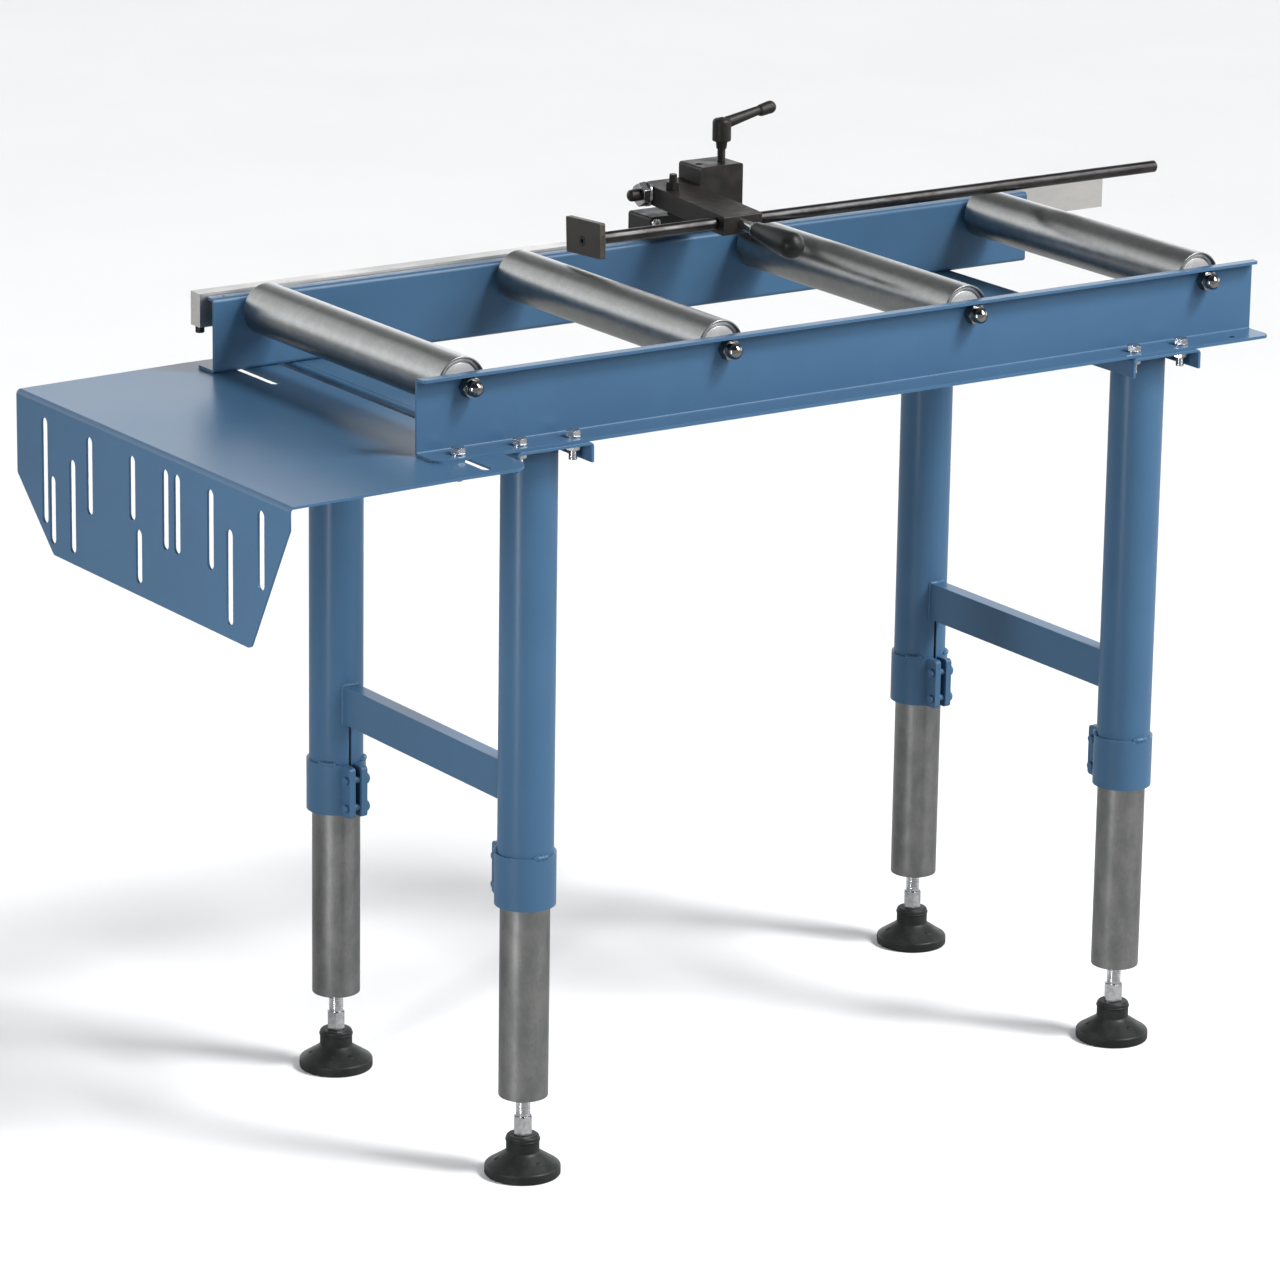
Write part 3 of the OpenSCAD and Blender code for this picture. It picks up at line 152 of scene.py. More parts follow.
# Round marks on the pad's cone: count, first turn, distance from the axis, height, slope, section
PAD_MARKS, PAD_MARK_TURN = 3, 35
PAD_MARK_OUT, PAD_MARK_UP, PAD_MARK_SLOPE = 0.026, 0.0166, 26
PAD_MARK = ((0.0030, -0.0012), (0.0030, 0.0001), (0.0024, 0.0004), (0.0, 0.0003))

# Grip: radius and depth of its socket, radius at the neck and at the widest, length, rounding of
# the neck's edge, and steps and bend of the curve that joins them
SOCKET_R, SOCKET_DEPTH = 0.0061, 0.0034
GRIP_NARROW, GRIP_WIDE, GRIP_REACH = 0.0087, 0.0140, 0.0740
NECK_ROUND = 0.0010
SWELL_STEPS, SWELL_BEND, END_STEPS = 14, 1.25, 12
# Ferrule before the grip: radius and height of its section
FERRULE = ((SOCKET_R, 0.0), (0.0070, 0.0), (0.0076, 0.0006), (0.0076, SOCKET_DEPTH),
           (SOCKET_R, SOCKET_DEPTH), (SOCKET_R, 0.0))

# Studio: point that the lamps aim at, radii of the floor's rings, gap from the floor to the feet
LAMP_AIM = (0.0, 0.0, 0.5)
FLOOR_RINGS = (0.0, 0.6, 1.4, 3.0, 7.0, 15.0)
FLOOR_GAP = 0.0003
# Main light: way that it shines, and its width in degrees
SUN_WAY, SUN_WIDTH = (-0.50, 0.62, -1.0), 14
# Backdrop: height over which it falls off to the sky, way to the side behind the stand, range
# over which it dims towards the camera's side, and its colour
FALL_LOW, FALL_HIGH = 0.20, 0.42
BEHIND = (0.56, 0.83, 0.0)
FRONT_DIM, BACK_FULL = -0.4, 0.5
BACKDROP_COLOUR = (0.96, 0.98, 1.0, 1.0)


# Settings that the user may change

def colour(name, description, default):
    """A colour that the user may change."""
    return FloatVectorProperty(
        name=name, description=description, default=default,
        size=3, min=0.0, max=1.0, subtype="COLOR")


def length(name, description, default, low=0.0, high=1.0):
    """A length in metres that the user may change."""
    return FloatProperty(
        name=name, description=description, default=default, min=low, max=high,
        precision=5, subtype="DISTANCE", unit="LENGTH")


class StandFinishes(bpy.types.PropertyGroup):
    """Colours and gloss of the stand's materials."""
    enamel: colour("Enamel", "Blue of the painted sheet metal and tubes", (0.045, 0.107, 0.192))
    enamel_roughness: FloatProperty(
        name="Enamel roughness",
        description="Gloss of the blue enamel, from mirror at 0 to flat at 1",
        default=0.30, min=0.0, max=1.0, subtype="FACTOR")
    roller: colour("Rollers", "Zinc of the roller tubes", (0.285, 0.288, 0.281))
    leg: colour("Inner legs", "Dull zinc of the inner leg tubes", (0.225, 0.232, 0.228))
    bright_zinc: colour("Bolts", "Bright zinc of bolts, nuts and stems", (0.52, 0.53, 0.54))
    chrome: colour("Cap nuts", "Polished nickel of the cap nuts", (0.25, 0.245, 0.24))
    ground_steel: colour("Stop bar", "Bare ground steel of the stop bar", (0.66, 0.65, 0.625))
    dark_rod: colour("Stop rod", "Dark drawn steel of the stop rod", (0.048, 0.048, 0.048))
    black_steel: colour(
        "Black steel", "Blackened steel of carriage, arm, lever and screws",
        (0.0080, 0.0078, 0.0068))
    worn_plate: colour("Stop plate", "Brownish worn black of the stop plate", (0.030, 0.027, 0.021))
    pressed_cover: colour(
        "Roller ends", "Pale zinc of the pressed bearing housings", (0.72, 0.71, 0.70))
    black_plastic: colour("Plastic", "Black of the feet and the grip", (0.0100, 0.0116, 0.0110))


class StandDetails(bpy.types.PropertyGroup):
    """Sizes of the fine work."""
    edge_round: length("Edge rounding", "Rounding of sheet and block edges", 0.0005, 0.0, 0.003)
    weld_size: length("Weld bead", "Radius of the weld beads", 0.0026, 0.0005, 0.006)
    tack_length: length(
        "Tack weld", "Length of the short welds on top of the collars", 0.018, 0.005, 0.04)
    thread_height: length(
        "Thread height", "Height of a thread's crest over its root", 0.0004, 0.0001, 0.002)
    stem_pitch: length("Stem pitch", "Pitch of the foot stems' thread", 0.002, 0.001, 0.004)
    screw_pitch: length("Screw pitch", "Pitch of the small screws' threads", 0.0015, 0.0008, 0.003)
    grip_socket: length("Grip socket", "Depth of the stud in the CAD grip", 0.014, 0.005, 0.03)
    grip_neck: length(
        "Grip neck", "Bare stud left before the grip, beyond the CAD grip's own start",
        0.011, 0.0, 0.012)
    thread_steps: IntProperty(
        name="Thread steps", description="Steps of the mesh in one turn of a thread",
        default=28, min=8, max=96)


class StandStudio(bpy.types.PropertyGroup):
    """Floor, lamps and lens."""
    floor: colour("Floor", "Pale studio floor", (0.90, 0.90, 0.90))
    floor_bounce: FloatProperty(
        name="Floor bounce",
        description="Share of the floor's paleness that reaches the stand as bounced light",
        default=0.45, min=0.0, max=1.0, subtype="FACTOR")
    floor_radius: FloatProperty(
        name="Floor radius", description="Radius of the round studio floor",
        default=30.0, min=5.0, unit="LENGTH")
    sun: FloatProperty(
        name="Main light", description="Strength of the even main light from the front right",
        default=2.75, min=0.0)
    key_power: FloatProperty(
        name="Key lamp", description="Power of the large lamp at the front right",
        default=70.0, min=0.0, unit="POWER")
    back_power: FloatProperty(
        name="Back lamp", description="Power of the softbox at the back left",
        default=12.0, min=0.0, unit="POWER")
    side_power: FloatProperty(
        name="Side lamp", description="Power of the strip lamp at the left",
        default=20.0, min=0.0, unit="POWER")
    horizon: FloatProperty(
        name="Backdrop light",
        description="Strength of the bright band all round, low above the floor",
        default=2.6, min=0.0)
    front_share: FloatProperty(
        name="Front share",
        description="Share of the backdrop's light that also comes from the camera's side",
        default=0.24, min=0.0, max=1.0, subtype="FACTOR")
    sky: FloatProperty(
        name="Overhead light", description="Strength of the dim light from above",
        default=0.24, min=0.0)
    lens: FloatProperty(
        name="Lens", description="Focal length on a 36 mm sensor",
        default=166.90, min=1.0, unit="CAMERA")


# Finishes

def map_range(tree, value, low, high, to_low, to_high):
    """Adds a node that maps low..high smoothly on to another range, and holds it there."""
    node = tree.nodes.new("ShaderNodeMapRange")
    node.interpolation_type = "SMOOTHSTEP"
    tree.links.new(value, node.inputs["Value"])
    limits = {"From Min": low, "From Max": high, "To Min": to_low, "To Max": to_high}
    for name, number in limits.items():
        node.inputs[name].default_value = number
    return node.outputs["Result"]


class Finish:
    """A material under construction: a Principled shader and the patterns that feed it.
    Sizes are in metres, measured in the frame that all the pieces share."""

    def __init__(self, name, metallic=0.0, specular=0.5):
        self.material = bpy.data.materials.new(name)
        self.material.use_nodes = True
        self.tree = self.material.node_tree
        self.shader = self.tree.nodes["Principled BSDF"]
        self.shader.inputs["Metallic"].default_value = metallic
        self.shader.inputs["Specular IOR Level"].default_value = specular
        self.place = self.tree.nodes.new("ShaderNodeTexCoord").outputs["Object"]

    def add(self, kind, **sockets):
        """A new node, with its sockets set or linked by name."""
        node = self.tree.nodes.new(kind)
        for name, value in sockets.items():
            socket = node.inputs[name.replace("_", " ")]
            if isinstance(value, bpy.types.NodeSocket):
                self.tree.links.new(value, socket)
            else:
                socket.default_value = value
        return node

    def stretched(self, stretch, shift=(0.0, 0.0, 0.0)):
        """The place on the piece, squeezed or drawn out along each axis."""
        return self.add("ShaderNodeMapping", Vector=self.place, Scale=stretch,
                        Location=shift).outputs["Vector"]

    def noise(self, size, stretch=(1.0, 1.0, 1.0), detail=3.0, roughness=0.5,
              shift=(0.0, 0.0, 0.0)):
        """Cloudy pattern with features of the given size."""
        return self.add("ShaderNodeTexNoise", Vector=self.stretched(stretch, shift),
                        Scale=1.0 / size, Detail=detail, Roughness=roughness).outputs["Fac"]

    def cells(self, size):
        """Distance to the middle of the nearest cell, 0 at the middle."""
        return self.add("ShaderNodeTexVoronoi", Vector=self.place, Scale=1.0 / size,
                        Randomness=1.0).outputs["Distance"]

    def spread(self, value, low, high, to_low=0.0, to_high=1.0):
        """Maps the range low..high of a pattern on to another range, and holds it there."""
        return map_range(self.tree, value, low, high, to_low, to_high)

    def mix(self, factor, first, second):
        """First colour where the factor is 0, second where it is 1."""
        node = self.tree.nodes.new("ShaderNodeMix")
        node.data_type = "RGBA"
        sockets = (node.inputs["Factor"], node.inputs[MIX_FIRST], node.inputs[MIX_SECOND])
        for socket, value in zip(sockets, (factor, first, second)):
            if isinstance(value, bpy.types.NodeSocket):
                self.tree.links.new(value, socket)
            else:
                socket.default_value = (*value, 1.0)
        return node.outputs[MIX_RESULT]

    def sum(self, first, second, weight=1.0):
        """First pattern plus the second one times a weight."""
        node = self.tree.nodes.new("ShaderNodeMath")
        node.operation = "MULTIPLY_ADD"
        self.tree.links.new(second, node.inputs[0])
        node.inputs[1].default_value = weight
        self.tree.links.new(first, node.inputs[2])
        return node.outputs["Value"]

    def edges(self, reach):
        """1 along a piece's edges, fading to 0 on its flats within reach metres."""
        bent = self.add("ShaderNodeBevel", Radius=reach).outputs["Normal"]
        plain = self.tree.nodes.new("ShaderNodeNewGeometry").outputs["Normal"]
        turn = self.tree.nodes.new("ShaderNodeVectorMath")
        turn.operation = "DOT_PRODUCT"
        self.tree.links.new(bent, turn.inputs[0])
        self.tree.links.new(plain, turn.inputs[1])
        return self.spread(turn.outputs["Value"], ON_FLAT, ON_EDGE)

    def set_colour(self, value):
        """Links the base colour to a pattern."""
        self.tree.links.new(value, self.shader.inputs["Base Color"])

    def set_roughness(self, value):
        """Links the roughness to a pattern."""
        self.tree.links.new(value, self.shader.inputs["Roughness"])

    def set_marked_roughness(self, broad, low, high, fine, more):
        """Roughness from low to high across a broad pattern, plus up to more over fine marks."""
        self.set_roughness(self.sum(self.spread(broad, NOISE_LOW, NOISE_HIGH, low, high),
                                    self.spread(fine, NOISE_LOW, NOISE_HIGH, 0.0, more)))

    def set_relief(self, height, depth, strength):
        """Raises the surface by up to depth metres where the height pattern is 1."""
        bump = self.add("ShaderNodeBump", Height=height, Strength=strength, Distance=depth)
        self.tree.links.new(bump.outputs["Normal"], self.shader.inputs["Normal"])


def shade(rgb, factor):
    """A colour made darker or lighter."""
    return tuple(min(1.0, channel * factor) for channel in rgb)


def tint(rgb, red=0.0, green=0.0, blue=0.0):
    """A colour moved a little towards red, green or blue."""
    moved = (channel + more for channel, more in zip(rgb, (red, green, blue)))
    return tuple(max(0.0, min(1.0, channel)) for channel in moved)


def finishes():
    """The user's colours and gloss."""
    return bpy.context.scene.stand_finishes


def details():
    """The user's sizes of the fine work."""
    return bpy.context.scene.stand_details


def studio():
    """The user's floor, lamps and lens."""
    return bpy.context.scene.stand_studio


def made(name, build):
    """The material of that name, built when it is first asked for."""
    return bpy.data.materials.get(name) or build(name)


def enamel(name):
    """Satin blue enamel on sheet steel: orange peel, faint clouds, dust specks, scuffs, and a
    painted highlight along the edges.
    """
    blue = tuple(finishes().enamel)
    gloss = finishes().enamel_roughness
    paint = Finish(name, specular=0.22)
    clouds = paint.noise(0.12, detail=6.0, roughness=0.6)
    fine = paint.noise(0.0016, detail=1.0)
    specks = paint.spread(paint.cells(0.020), 0.035, 0.02)
    body = paint.mix(paint.spread(clouds, 0.1, 0.9), shade(blue, 0.92), shade(blue, 1.08))
    body = paint.mix(paint.spread(fine, 0.3, 0.7, 0.0, 0.10), body, shade(blue, 1.25))
    body = paint.mix(specks, body, shade(blue, 0.72))
    scuffs = paint.noise(0.03, stretch=(1.0, 1.0, 6.0), detail=5.0, roughness=0.7)
    rubs = paint.spread(scuffs, 0.66, 0.78, 0.0, 0.35)
    body = paint.mix(rubs, body, shade(blue, 1.18))
    # Painted highlight: the edges and folds are lightened where rounded sheet edges would catch the
    # light.
    body = paint.mix(paint.edges(0.0008), body, shade(blue, 1.35))
    paint.set_colour(body)
    satin = paint.spread(clouds, 0.1, 0.9, gloss - 0.01, gloss + 0.03)
    paint.set_roughness(paint.sum(satin, rubs, 0.3))
    peel = paint.sum(fine, paint.noise(0.006, detail=1.0, shift=(3.1, 0.4, 1.7)), 0.7)
    paint.set_relief(peel, 0.00006, 0.5)
    return paint.material


def rolled_zinc(name):
    """Zinc-coated roller tube: drawn grain along it, spangle, rubbed tracks and small nicks."""
    zinc = tuple(finishes().roller)
    tube = Finish(name, metallic=1.0)
    grain = tube.noise(0.0007, stretch=(1.0, 0.12, 1.0), detail=3.0, roughness=0.6)
    spangle = tube.noise(0.006, stretch=(1.0, 0.6, 1.0), detail=4.0, roughness=0.65)
    tracks = tube.noise(0.030, stretch=(0.35, 1.0, 0.35), detail=2.0, shift=(0.6, 0.2, 0.0))
    pits = tube.noise(0.009, stretch=(2.5, 0.5, 1.0), detail=6.0, roughness=0.75)
    nicks = tube.spread(pits, 0.70, 0.74)
    pale = tint(shade(zinc, 1.06), blue=0.005)
    body = tube.mix(tube.spread(spangle, 0.35, 0.65), shade(zinc, 0.92), pale)
    body = tube.mix(tube.spread(tracks, 0.45, 0.65, 0.0, 0.35), body, shade(zinc, 0.80))
    body = tube.mix(nicks, body, shade(zinc, 0.45))
    tube.set_colour(body)
    tube.set_marked_roughness(grain, 0.285, 0.35, spangle, 0.04)
    tube.set_relief(tube.sum(grain, spangle, 0.15), 0.00004, 0.4)
    return tube.material


def dull_zinc(name):
    """Inner leg tube: dull zinc with fine marks across it, stains and a greasy bloom."""
    zinc = tuple(finishes().leg)
    tube = Finish(name, metallic=1.0)
    grain = tube.noise(0.0009, stretch=(1.0, 1.0, 0.22), detail=3.0, roughness=0.6)
    stains = tube.noise(0.020, stretch=(1.0, 1.0, 0.6), detail=5.0, roughness=0.65)
    specks = tube.spread(tube.noise(0.0035, detail=4.0, roughness=0.7), 0.66, 0.73)
    pale = tint(shade(zinc, 1.10), red=0.01)
    body = tube.mix(tube.spread(stains, 0.36, 0.64), shade(zinc, 0.86), pale)
    body = tube.mix(tube.spread(grain, 0.35, 0.65, 0.0, 0.35), body, shade(zinc, 0.78))
    body = tube.mix(specks, body, shade(zinc, 0.55))
    tube.set_colour(body)
    tube.set_marked_roughness(stains, 0.29, 0.35, grain, 0.05)
    tube.set_relief(tube.sum(grain, stains, 0.4), 0.00006, 0.5)
    return tube.material


def pressed_zinc(name):
    """Pressed bearing housing: pale zinc with faint rings of the press tool and a little grease."""
    zinc = tuple(finishes().pressed_cover)
    cover = Finish(name, metallic=0.6)
    grease = cover.noise(0.012, detail=4.0, roughness=0.6)
    fine = cover.noise(0.0012, detail=2.0)
    body = cover.mix(cover.spread(grease, 0.40, 0.65), zinc, shade(zinc, 0.82))
    cover.set_colour(body)
    satin = cover.spread(grease, 0.35, 0.65, 0.29, 0.40)
    cover.set_roughness(cover.sum(satin, cover.spread(fine, 0.3, 0.7, 0.0, 0.06)))
    cover.set_relief(fine, 0.00004, 0.5)
    return cover.material


def bolt_zinc(name):
    """Bright zinc of bolts, nuts and stems, with blotches of passivation and small scratches."""
    zinc = tuple(finishes().bright_zinc)
    metal = Finish(name, metallic=1.0)
    blotch = metal.noise(0.005, detail=4.0, roughness=0.6)
    scratch = metal.noise(0.0006, stretch=(1.0, 1.0, 0.25), detail=3.0)
    pale = tint(shade(zinc, 1.08), red=0.01)
    metal.set_colour(metal.mix(metal.spread(blotch, 0.35, 0.65), pale, shade(zinc, 0.78)))
    metal.set_marked_roughness(blotch, 0.15, 0.23, scratch, 0.03)
    metal.set_relief(scratch, 0.00003, 0.5)
    return metal.material


def polished_nickel(name):
    """Polished cap nut: almost a mirror, with hairline wipe marks and finger grease."""
    nickel = tuple(finishes().chrome)
    metal = Finish(name, metallic=1.0)
    wipes = metal.noise(0.0012, stretch=(1.0, 1.0, 4.0), detail=4.0, roughness=0.7)
    grease = metal.noise(0.009, detail=2.0)
    metal.set_colour(metal.mix(metal.spread(grease, 0.4, 0.65), nickel, shade(nickel, 0.88)))
    shine = metal.spread(grease, 0.35, 0.65, 0.04, 0.09)
    metal.set_roughness(metal.sum(shine, metal.spread(wipes, 0.5, 0.8, 0.0, 0.04)))
    metal.set_relief(wipes, 0.00001, 0.4)
    return metal.material


def drawn_steel(name):
    """Dark drawn bar of the axles and spacers, oiled, with lines along it."""
    steel = Finish(name, metallic=1.0)
    lines = steel.noise(0.0008, stretch=(1.0, 0.08, 1.0), detail=3.0)
    oil = steel.noise(0.010, detail=3.0)
    dry, oily, bright = (0.34, 0.33, 0.32), (0.22, 0.21, 0.20), (0.44, 0.43, 0.42)
    body = steel.mix(steel.spread(oil, 0.4, 0.6), dry, oily)
    steel.set_colour(steel.mix(steel.spread(lines, 0.4, 0.7, 0.0, 0.4), body, bright))
    steel.set_roughness(steel.spread(oil, 0.35, 0.65, 0.42, 0.30))
    steel.set_relief(lines, 0.00004, 0.5)
    return steel.material


def turned_steel(name):
    """Turned plug in the end of a leg, with rings of the tool."""
    steel = Finish(name, metallic=1.0)
    rings = steel.noise(0.0006, stretch=(0.3, 0.3, 1.0), detail=2.0)
    dust = steel.noise(0.008, detail=4.0, roughness=0.6)
    clean, dusty = (0.36, 0.36, 0.35), (0.20, 0.20, 0.19)
    steel.set_colour(steel.mix(steel.spread(dust, 0.4, 0.65), clean, dusty))
    steel.set_roughness(steel.spread(dust, 0.35, 0.65, 0.34, 0.52))
    steel.set_relief(rings, 0.00006, 0.5)
    return steel.material


def ground_bar(name):
    """Bare ground flat bar: long grinding lines, pale oil film and a few dark rubs."""
    bare = tuple(finishes().ground_steel)
    steel = Finish(name, metallic=1.0)
    lines = steel.noise(0.0009, stretch=(0.02, 1.0, 1.0), detail=3.0, roughness=0.6)
    film = steel.noise(0.045, stretch=(0.5, 1.0, 1.0), detail=4.0, roughness=0.6)
    stains = steel.noise(0.018, stretch=(0.6, 1.0, 1.6), detail=5.0, roughness=0.7)
    rubs = steel.spread(stains, 0.62, 0.72)
    body = steel.mix(steel.spread(film, 0.38, 0.62), tint(bare, red=0.02), shade(bare, 0.88))
    body = steel.mix(steel.spread(lines, 0.45, 0.75, 0.0, 0.5), body, shade(bare, 0.76))
    steel.set_colour(steel.mix(rubs, body, shade(bare, 0.62)))
    steel.set_marked_roughness(film, 0.30, 0.42, lines, 0.10)
    steel.set_relief(lines, 0.00005, 0.5)
    return steel.material


def dark_rod(name):
    """Dark drawn rod: oiled skin with brown mill scale and long lines that catch the light."""
    dark = tuple(finishes().dark_rod)
    steel = Finish(name, metallic=1.0)
    lines = steel.noise(0.0007, stretch=(0.03, 1.0, 1.0), detail=3.0, roughness=0.6)
    scale = steel.noise(0.012, stretch=(0.35, 1.0, 1.0), detail=5.0, roughness=0.65)
    brown = tint(shade(dark, 0.60), red=0.004)
    body = steel.mix(steel.spread(scale, 0.40, 0.62), shade(dark, 1.15), brown)
    steel.set_colour(steel.mix(steel.spread(lines, 0.5, 0.8, 0.0, 0.6), body, shade(dark, 1.9)))
    steel.set_marked_roughness(scale, 0.29, 0.35, lines, 0.03)
    steel.set_relief(steel.sum(lines, scale, 0.3), 0.00005, 0.5)
    return steel.material


def milled(name, black):
    """Blackened milled steel: tool lines, brownish clouds and grey rubbed edges."""
    steel = Finish(name, specular=0.32)
    milling = steel.noise(0.0010, stretch=(0.10, 1.0, 1.0), detail=2.0)
    clouds = steel.noise(0.014, detail=5.0, roughness=0.6)
    body = steel.mix(steel.spread(clouds, 0.35, 0.65), black, tint(shade(black, 1.45), red=0.004))
    body = steel.mix(steel.spread(milling, 0.5, 0.8, 0.0, 0.35), body, shade(black, 2.0))
    body = steel.mix(steel.edges(0.0010), body, shade(black, 3.5))
    steel.set_colour(body)
    steel.set_marked_roughness(clouds, 0.36, 0.50, milling, 0.08)
    steel.set_relief(steel.sum(milling, clouds, 0.4), 0.00007, 0.5)
    return steel.material


def black_steel(name):
    """Finish of the carriage and the arm."""
    return milled(name, tuple(finishes().black_steel))


def worn_plate(name):
    """Finish of the stop plate, which the workpieces have rubbed brown."""
    return milled(name, tuple(finishes().worn_plate))


def black_screw(name):
    """Blackened screw with an oily sheen."""
    black = tuple(finishes().black_steel)
    steel = Finish(name, specular=0.25)
    clouds = steel.noise(0.004, detail=4.0, roughness=0.6)
    worn = tint(shade(black, 1.5), red=0.005)
    steel.set_colour(steel.mix(steel.spread(clouds, 0.35, 0.65), shade(black, 0.8), worn))
    steel.set_roughness(steel.spread(clouds, 0.3, 0.7, 0.30, 0.46))
    steel.set_relief(clouds, 0.00004, 0.5)
    return steel.material


def powder_black(name):
    """Black powder coat of the clamping lever, with its fine grain."""
    black = tuple(finishes().black_steel)
    coat = Finish(name, specular=0.25)
    grain = coat.noise(0.0009, detail=2.0)
    clouds = coat.noise(0.012, detail=3.0)
    faded = tint(shade(black, 1.8), red=0.003)
    body = coat.mix(coat.spread(clouds, 0.35, 0.65), shade(black, 1.3), faded)
    body = coat.mix(coat.edges(0.0010), body, shade(black, 2.4))
    coat.set_colour(body)
    coat.set_roughness(coat.spread(grain, 0.3, 0.7, 0.40, 0.54))
    coat.set_relief(grain, 0.00010, 0.6)
    return coat.material


def moulded_foot(name):
    """Moulded black foot: fine mould grain, dust on it and grey scuffs along the rim."""
    black = tuple(finishes().black_plastic)
    plastic = Finish(name, specular=0.22)
    grain = plastic.cells(0.0011)
    dust = plastic.noise(0.022, detail=5.0, roughness=0.65)
    rim = plastic.noise(0.008, stretch=(1.0, 1.0, 2.5), detail=6.0, roughness=0.75)
    scuffs = plastic.spread(rim, 0.60, 0.74, 0.0, 0.6)
    dusty = tint(shade(black, 1.9), green=0.002)
    body = plastic.mix(plastic.spread(dust, 0.42, 0.70), black, dusty)
    plastic.set_colour(plastic.mix(scuffs, body, shade(black, 3.2)))
    plastic.set_roughness(plastic.sum(plastic.spread(dust, 0.3, 0.7, 0.42, 0.56), scuffs, 0.15))
    plastic.set_relief(grain, 0.00008, 0.5)
    return plastic.material


def grip_plastic(name):
    """Smooth black grip, polished by hands, with a faint mould grain."""
    black = tuple(finishes().black_plastic)
    plastic = Finish(name, specular=0.22)
    grain = plastic.noise(0.0010, detail=2.0)
    hands = plastic.noise(0.016, detail=3.0)
    polished = tint(shade(black, 1.6), red=0.001)
    plastic.set_colour(plastic.mix(plastic.spread(hands, 0.40, 0.65), black, polished))
    plastic.set_roughness(plastic.spread(hands, 0.35, 0.65, 0.34, 0.46))
    plastic.set_relief(grain, 0.00005, 0.4)
    return plastic.material


def seal_rubber(name):
    """Black rubber seal of a bearing."""
    rubber = Finish(name)
    bloom = rubber.noise(0.004, detail=4.0)
    deep, faded = (0.012, 0.012, 0.012), (0.035, 0.034, 0.032)
    rubber.set_colour(rubber.mix(rubber.spread(bloom, 0.35, 0.65), deep, faded))
    rubber.set_roughness(rubber.spread(bloom, 0.3, 0.7, 0.5, 0.7))
    rubber.set_relief(bloom, 0.00004, 0.5)
    return rubber.material


def studio_floor(name):
    """Pale studio floor with a hardly visible grain."""
    pale = tuple(studio().floor)
    sheet = Finish(name)
    clouds = sheet.noise(0.5, detail=3.0)
    grain = sheet.noise(0.003, detail=2.0)
    seen = sheet.mix(sheet.spread(clouds, 0.3, 0.7), shade(pale, 0.99), shade(pale, 1.01))
    view = sheet.tree.nodes.new("ShaderNodeLightPath").outputs["Is Camera Ray"]
    sheet.set_colour(sheet.mix(view, shade(pale, studio().floor_bounce), seen))
    sheet.set_roughness(sheet.spread(grain, 0.3, 0.7, 0.62, 0.70))
    sheet.set_relief(grain, 0.00005, 0.2)
    return sheet.material


# Making and dressing pieces

def dress(node, material, rounding):
    """Gives a CAD node its material, and rounds its sharp edges a little."""
    if node not in frame["nodes"]:
        raise RuntimeError(f"the frame has no node {node}")
    piece = frame["nodes"][node]
    piece.data.materials.clear()
    piece.data.materials.append(material)
    if rounding:
        weld = piece.modifiers.new("join corners", "WELD")
        weld.merge_threshold = JOIN_REACH
        bevel = piece.modifiers.new("round edges", "BEVEL")
        bevel.width = rounding
        bevel.segments = 2
        bevel.limit_method = "ANGLE"
        bevel.angle_limit = math.radians(SHARP_DEGREES)
        bevel.use_clamp_overlap = True
        bevel.miter_outer = "MITER_ARC"
        normals = piece.modifiers.new("shade evenly", "WEIGHTED_NORMAL")
        normals.keep_sharp = False


def piece_from(name, work, material, body):
    """Turns a bmesh into a shown piece that rides on a body."""
    bmesh.ops.recalc_face_normals(work, faces=work.faces[:])
    mesh = bpy.data.meshes.new(name)
    work.to_mesh(mesh)
    work.free()
    for face in mesh.polygons:
        face.use_smooth = True
    mesh.materials.append(material)
    piece = bpy.data.objects.new(name, mesh)
    bpy.context.scene.collection.objects.link(piece)
    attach(piece, body)
    return piece


def bead(work, path, outward, radius, closed, seed):
    """Adds a weld bead along a path: rippled like the scales of a hand-made weld.
    outward(point) gives the direction that points away from the joint."""
    rng = random.Random(seed)
    rings = []
    count = len(path)
    for i, point in enumerate(path):
        before = path[i - 1] if closed or i else point
        after = path[(i + 1) % count] if closed or i < count - 1 else point
        along = (after - before).normalized()
        out = outward(point)
        out = (out - along * out.dot(along)).normalized()
        side = along.cross(out)
        swell = 1.0 + SCALE_SWING * math.sin(i * SCALE_STEP)
        swell += rng.uniform(-SCALE_NOISE, SCALE_NOISE)
        if not closed:
            nearest = min(i, count - 1 - i)
            swell *= min(1.0, BEAD_END + (1.0 - BEAD_END) * nearest / BEAD_END_RINGS)
        r = radius * swell
        rings.append([
            work.verts.new(point + out * math.cos(a) * r * BEAD_FLATNESS + side * math.sin(a) * r)
            for a in (2 * math.pi * k / BEAD_SIDES for k in range(BEAD_SIDES))
        ])
    pairs = count if closed else count - 1
    for i in range(pairs):
        first, second = rings[i], rings[(i + 1) % count]
        for k in range(BEAD_SIDES):
            n = (k + 1) % BEAD_SIDES
            work.faces.new((first[k], first[n], second[n], second[k]))
    if not closed:
        work.faces.new(rings[0])
        work.faces.new(rings[-1])


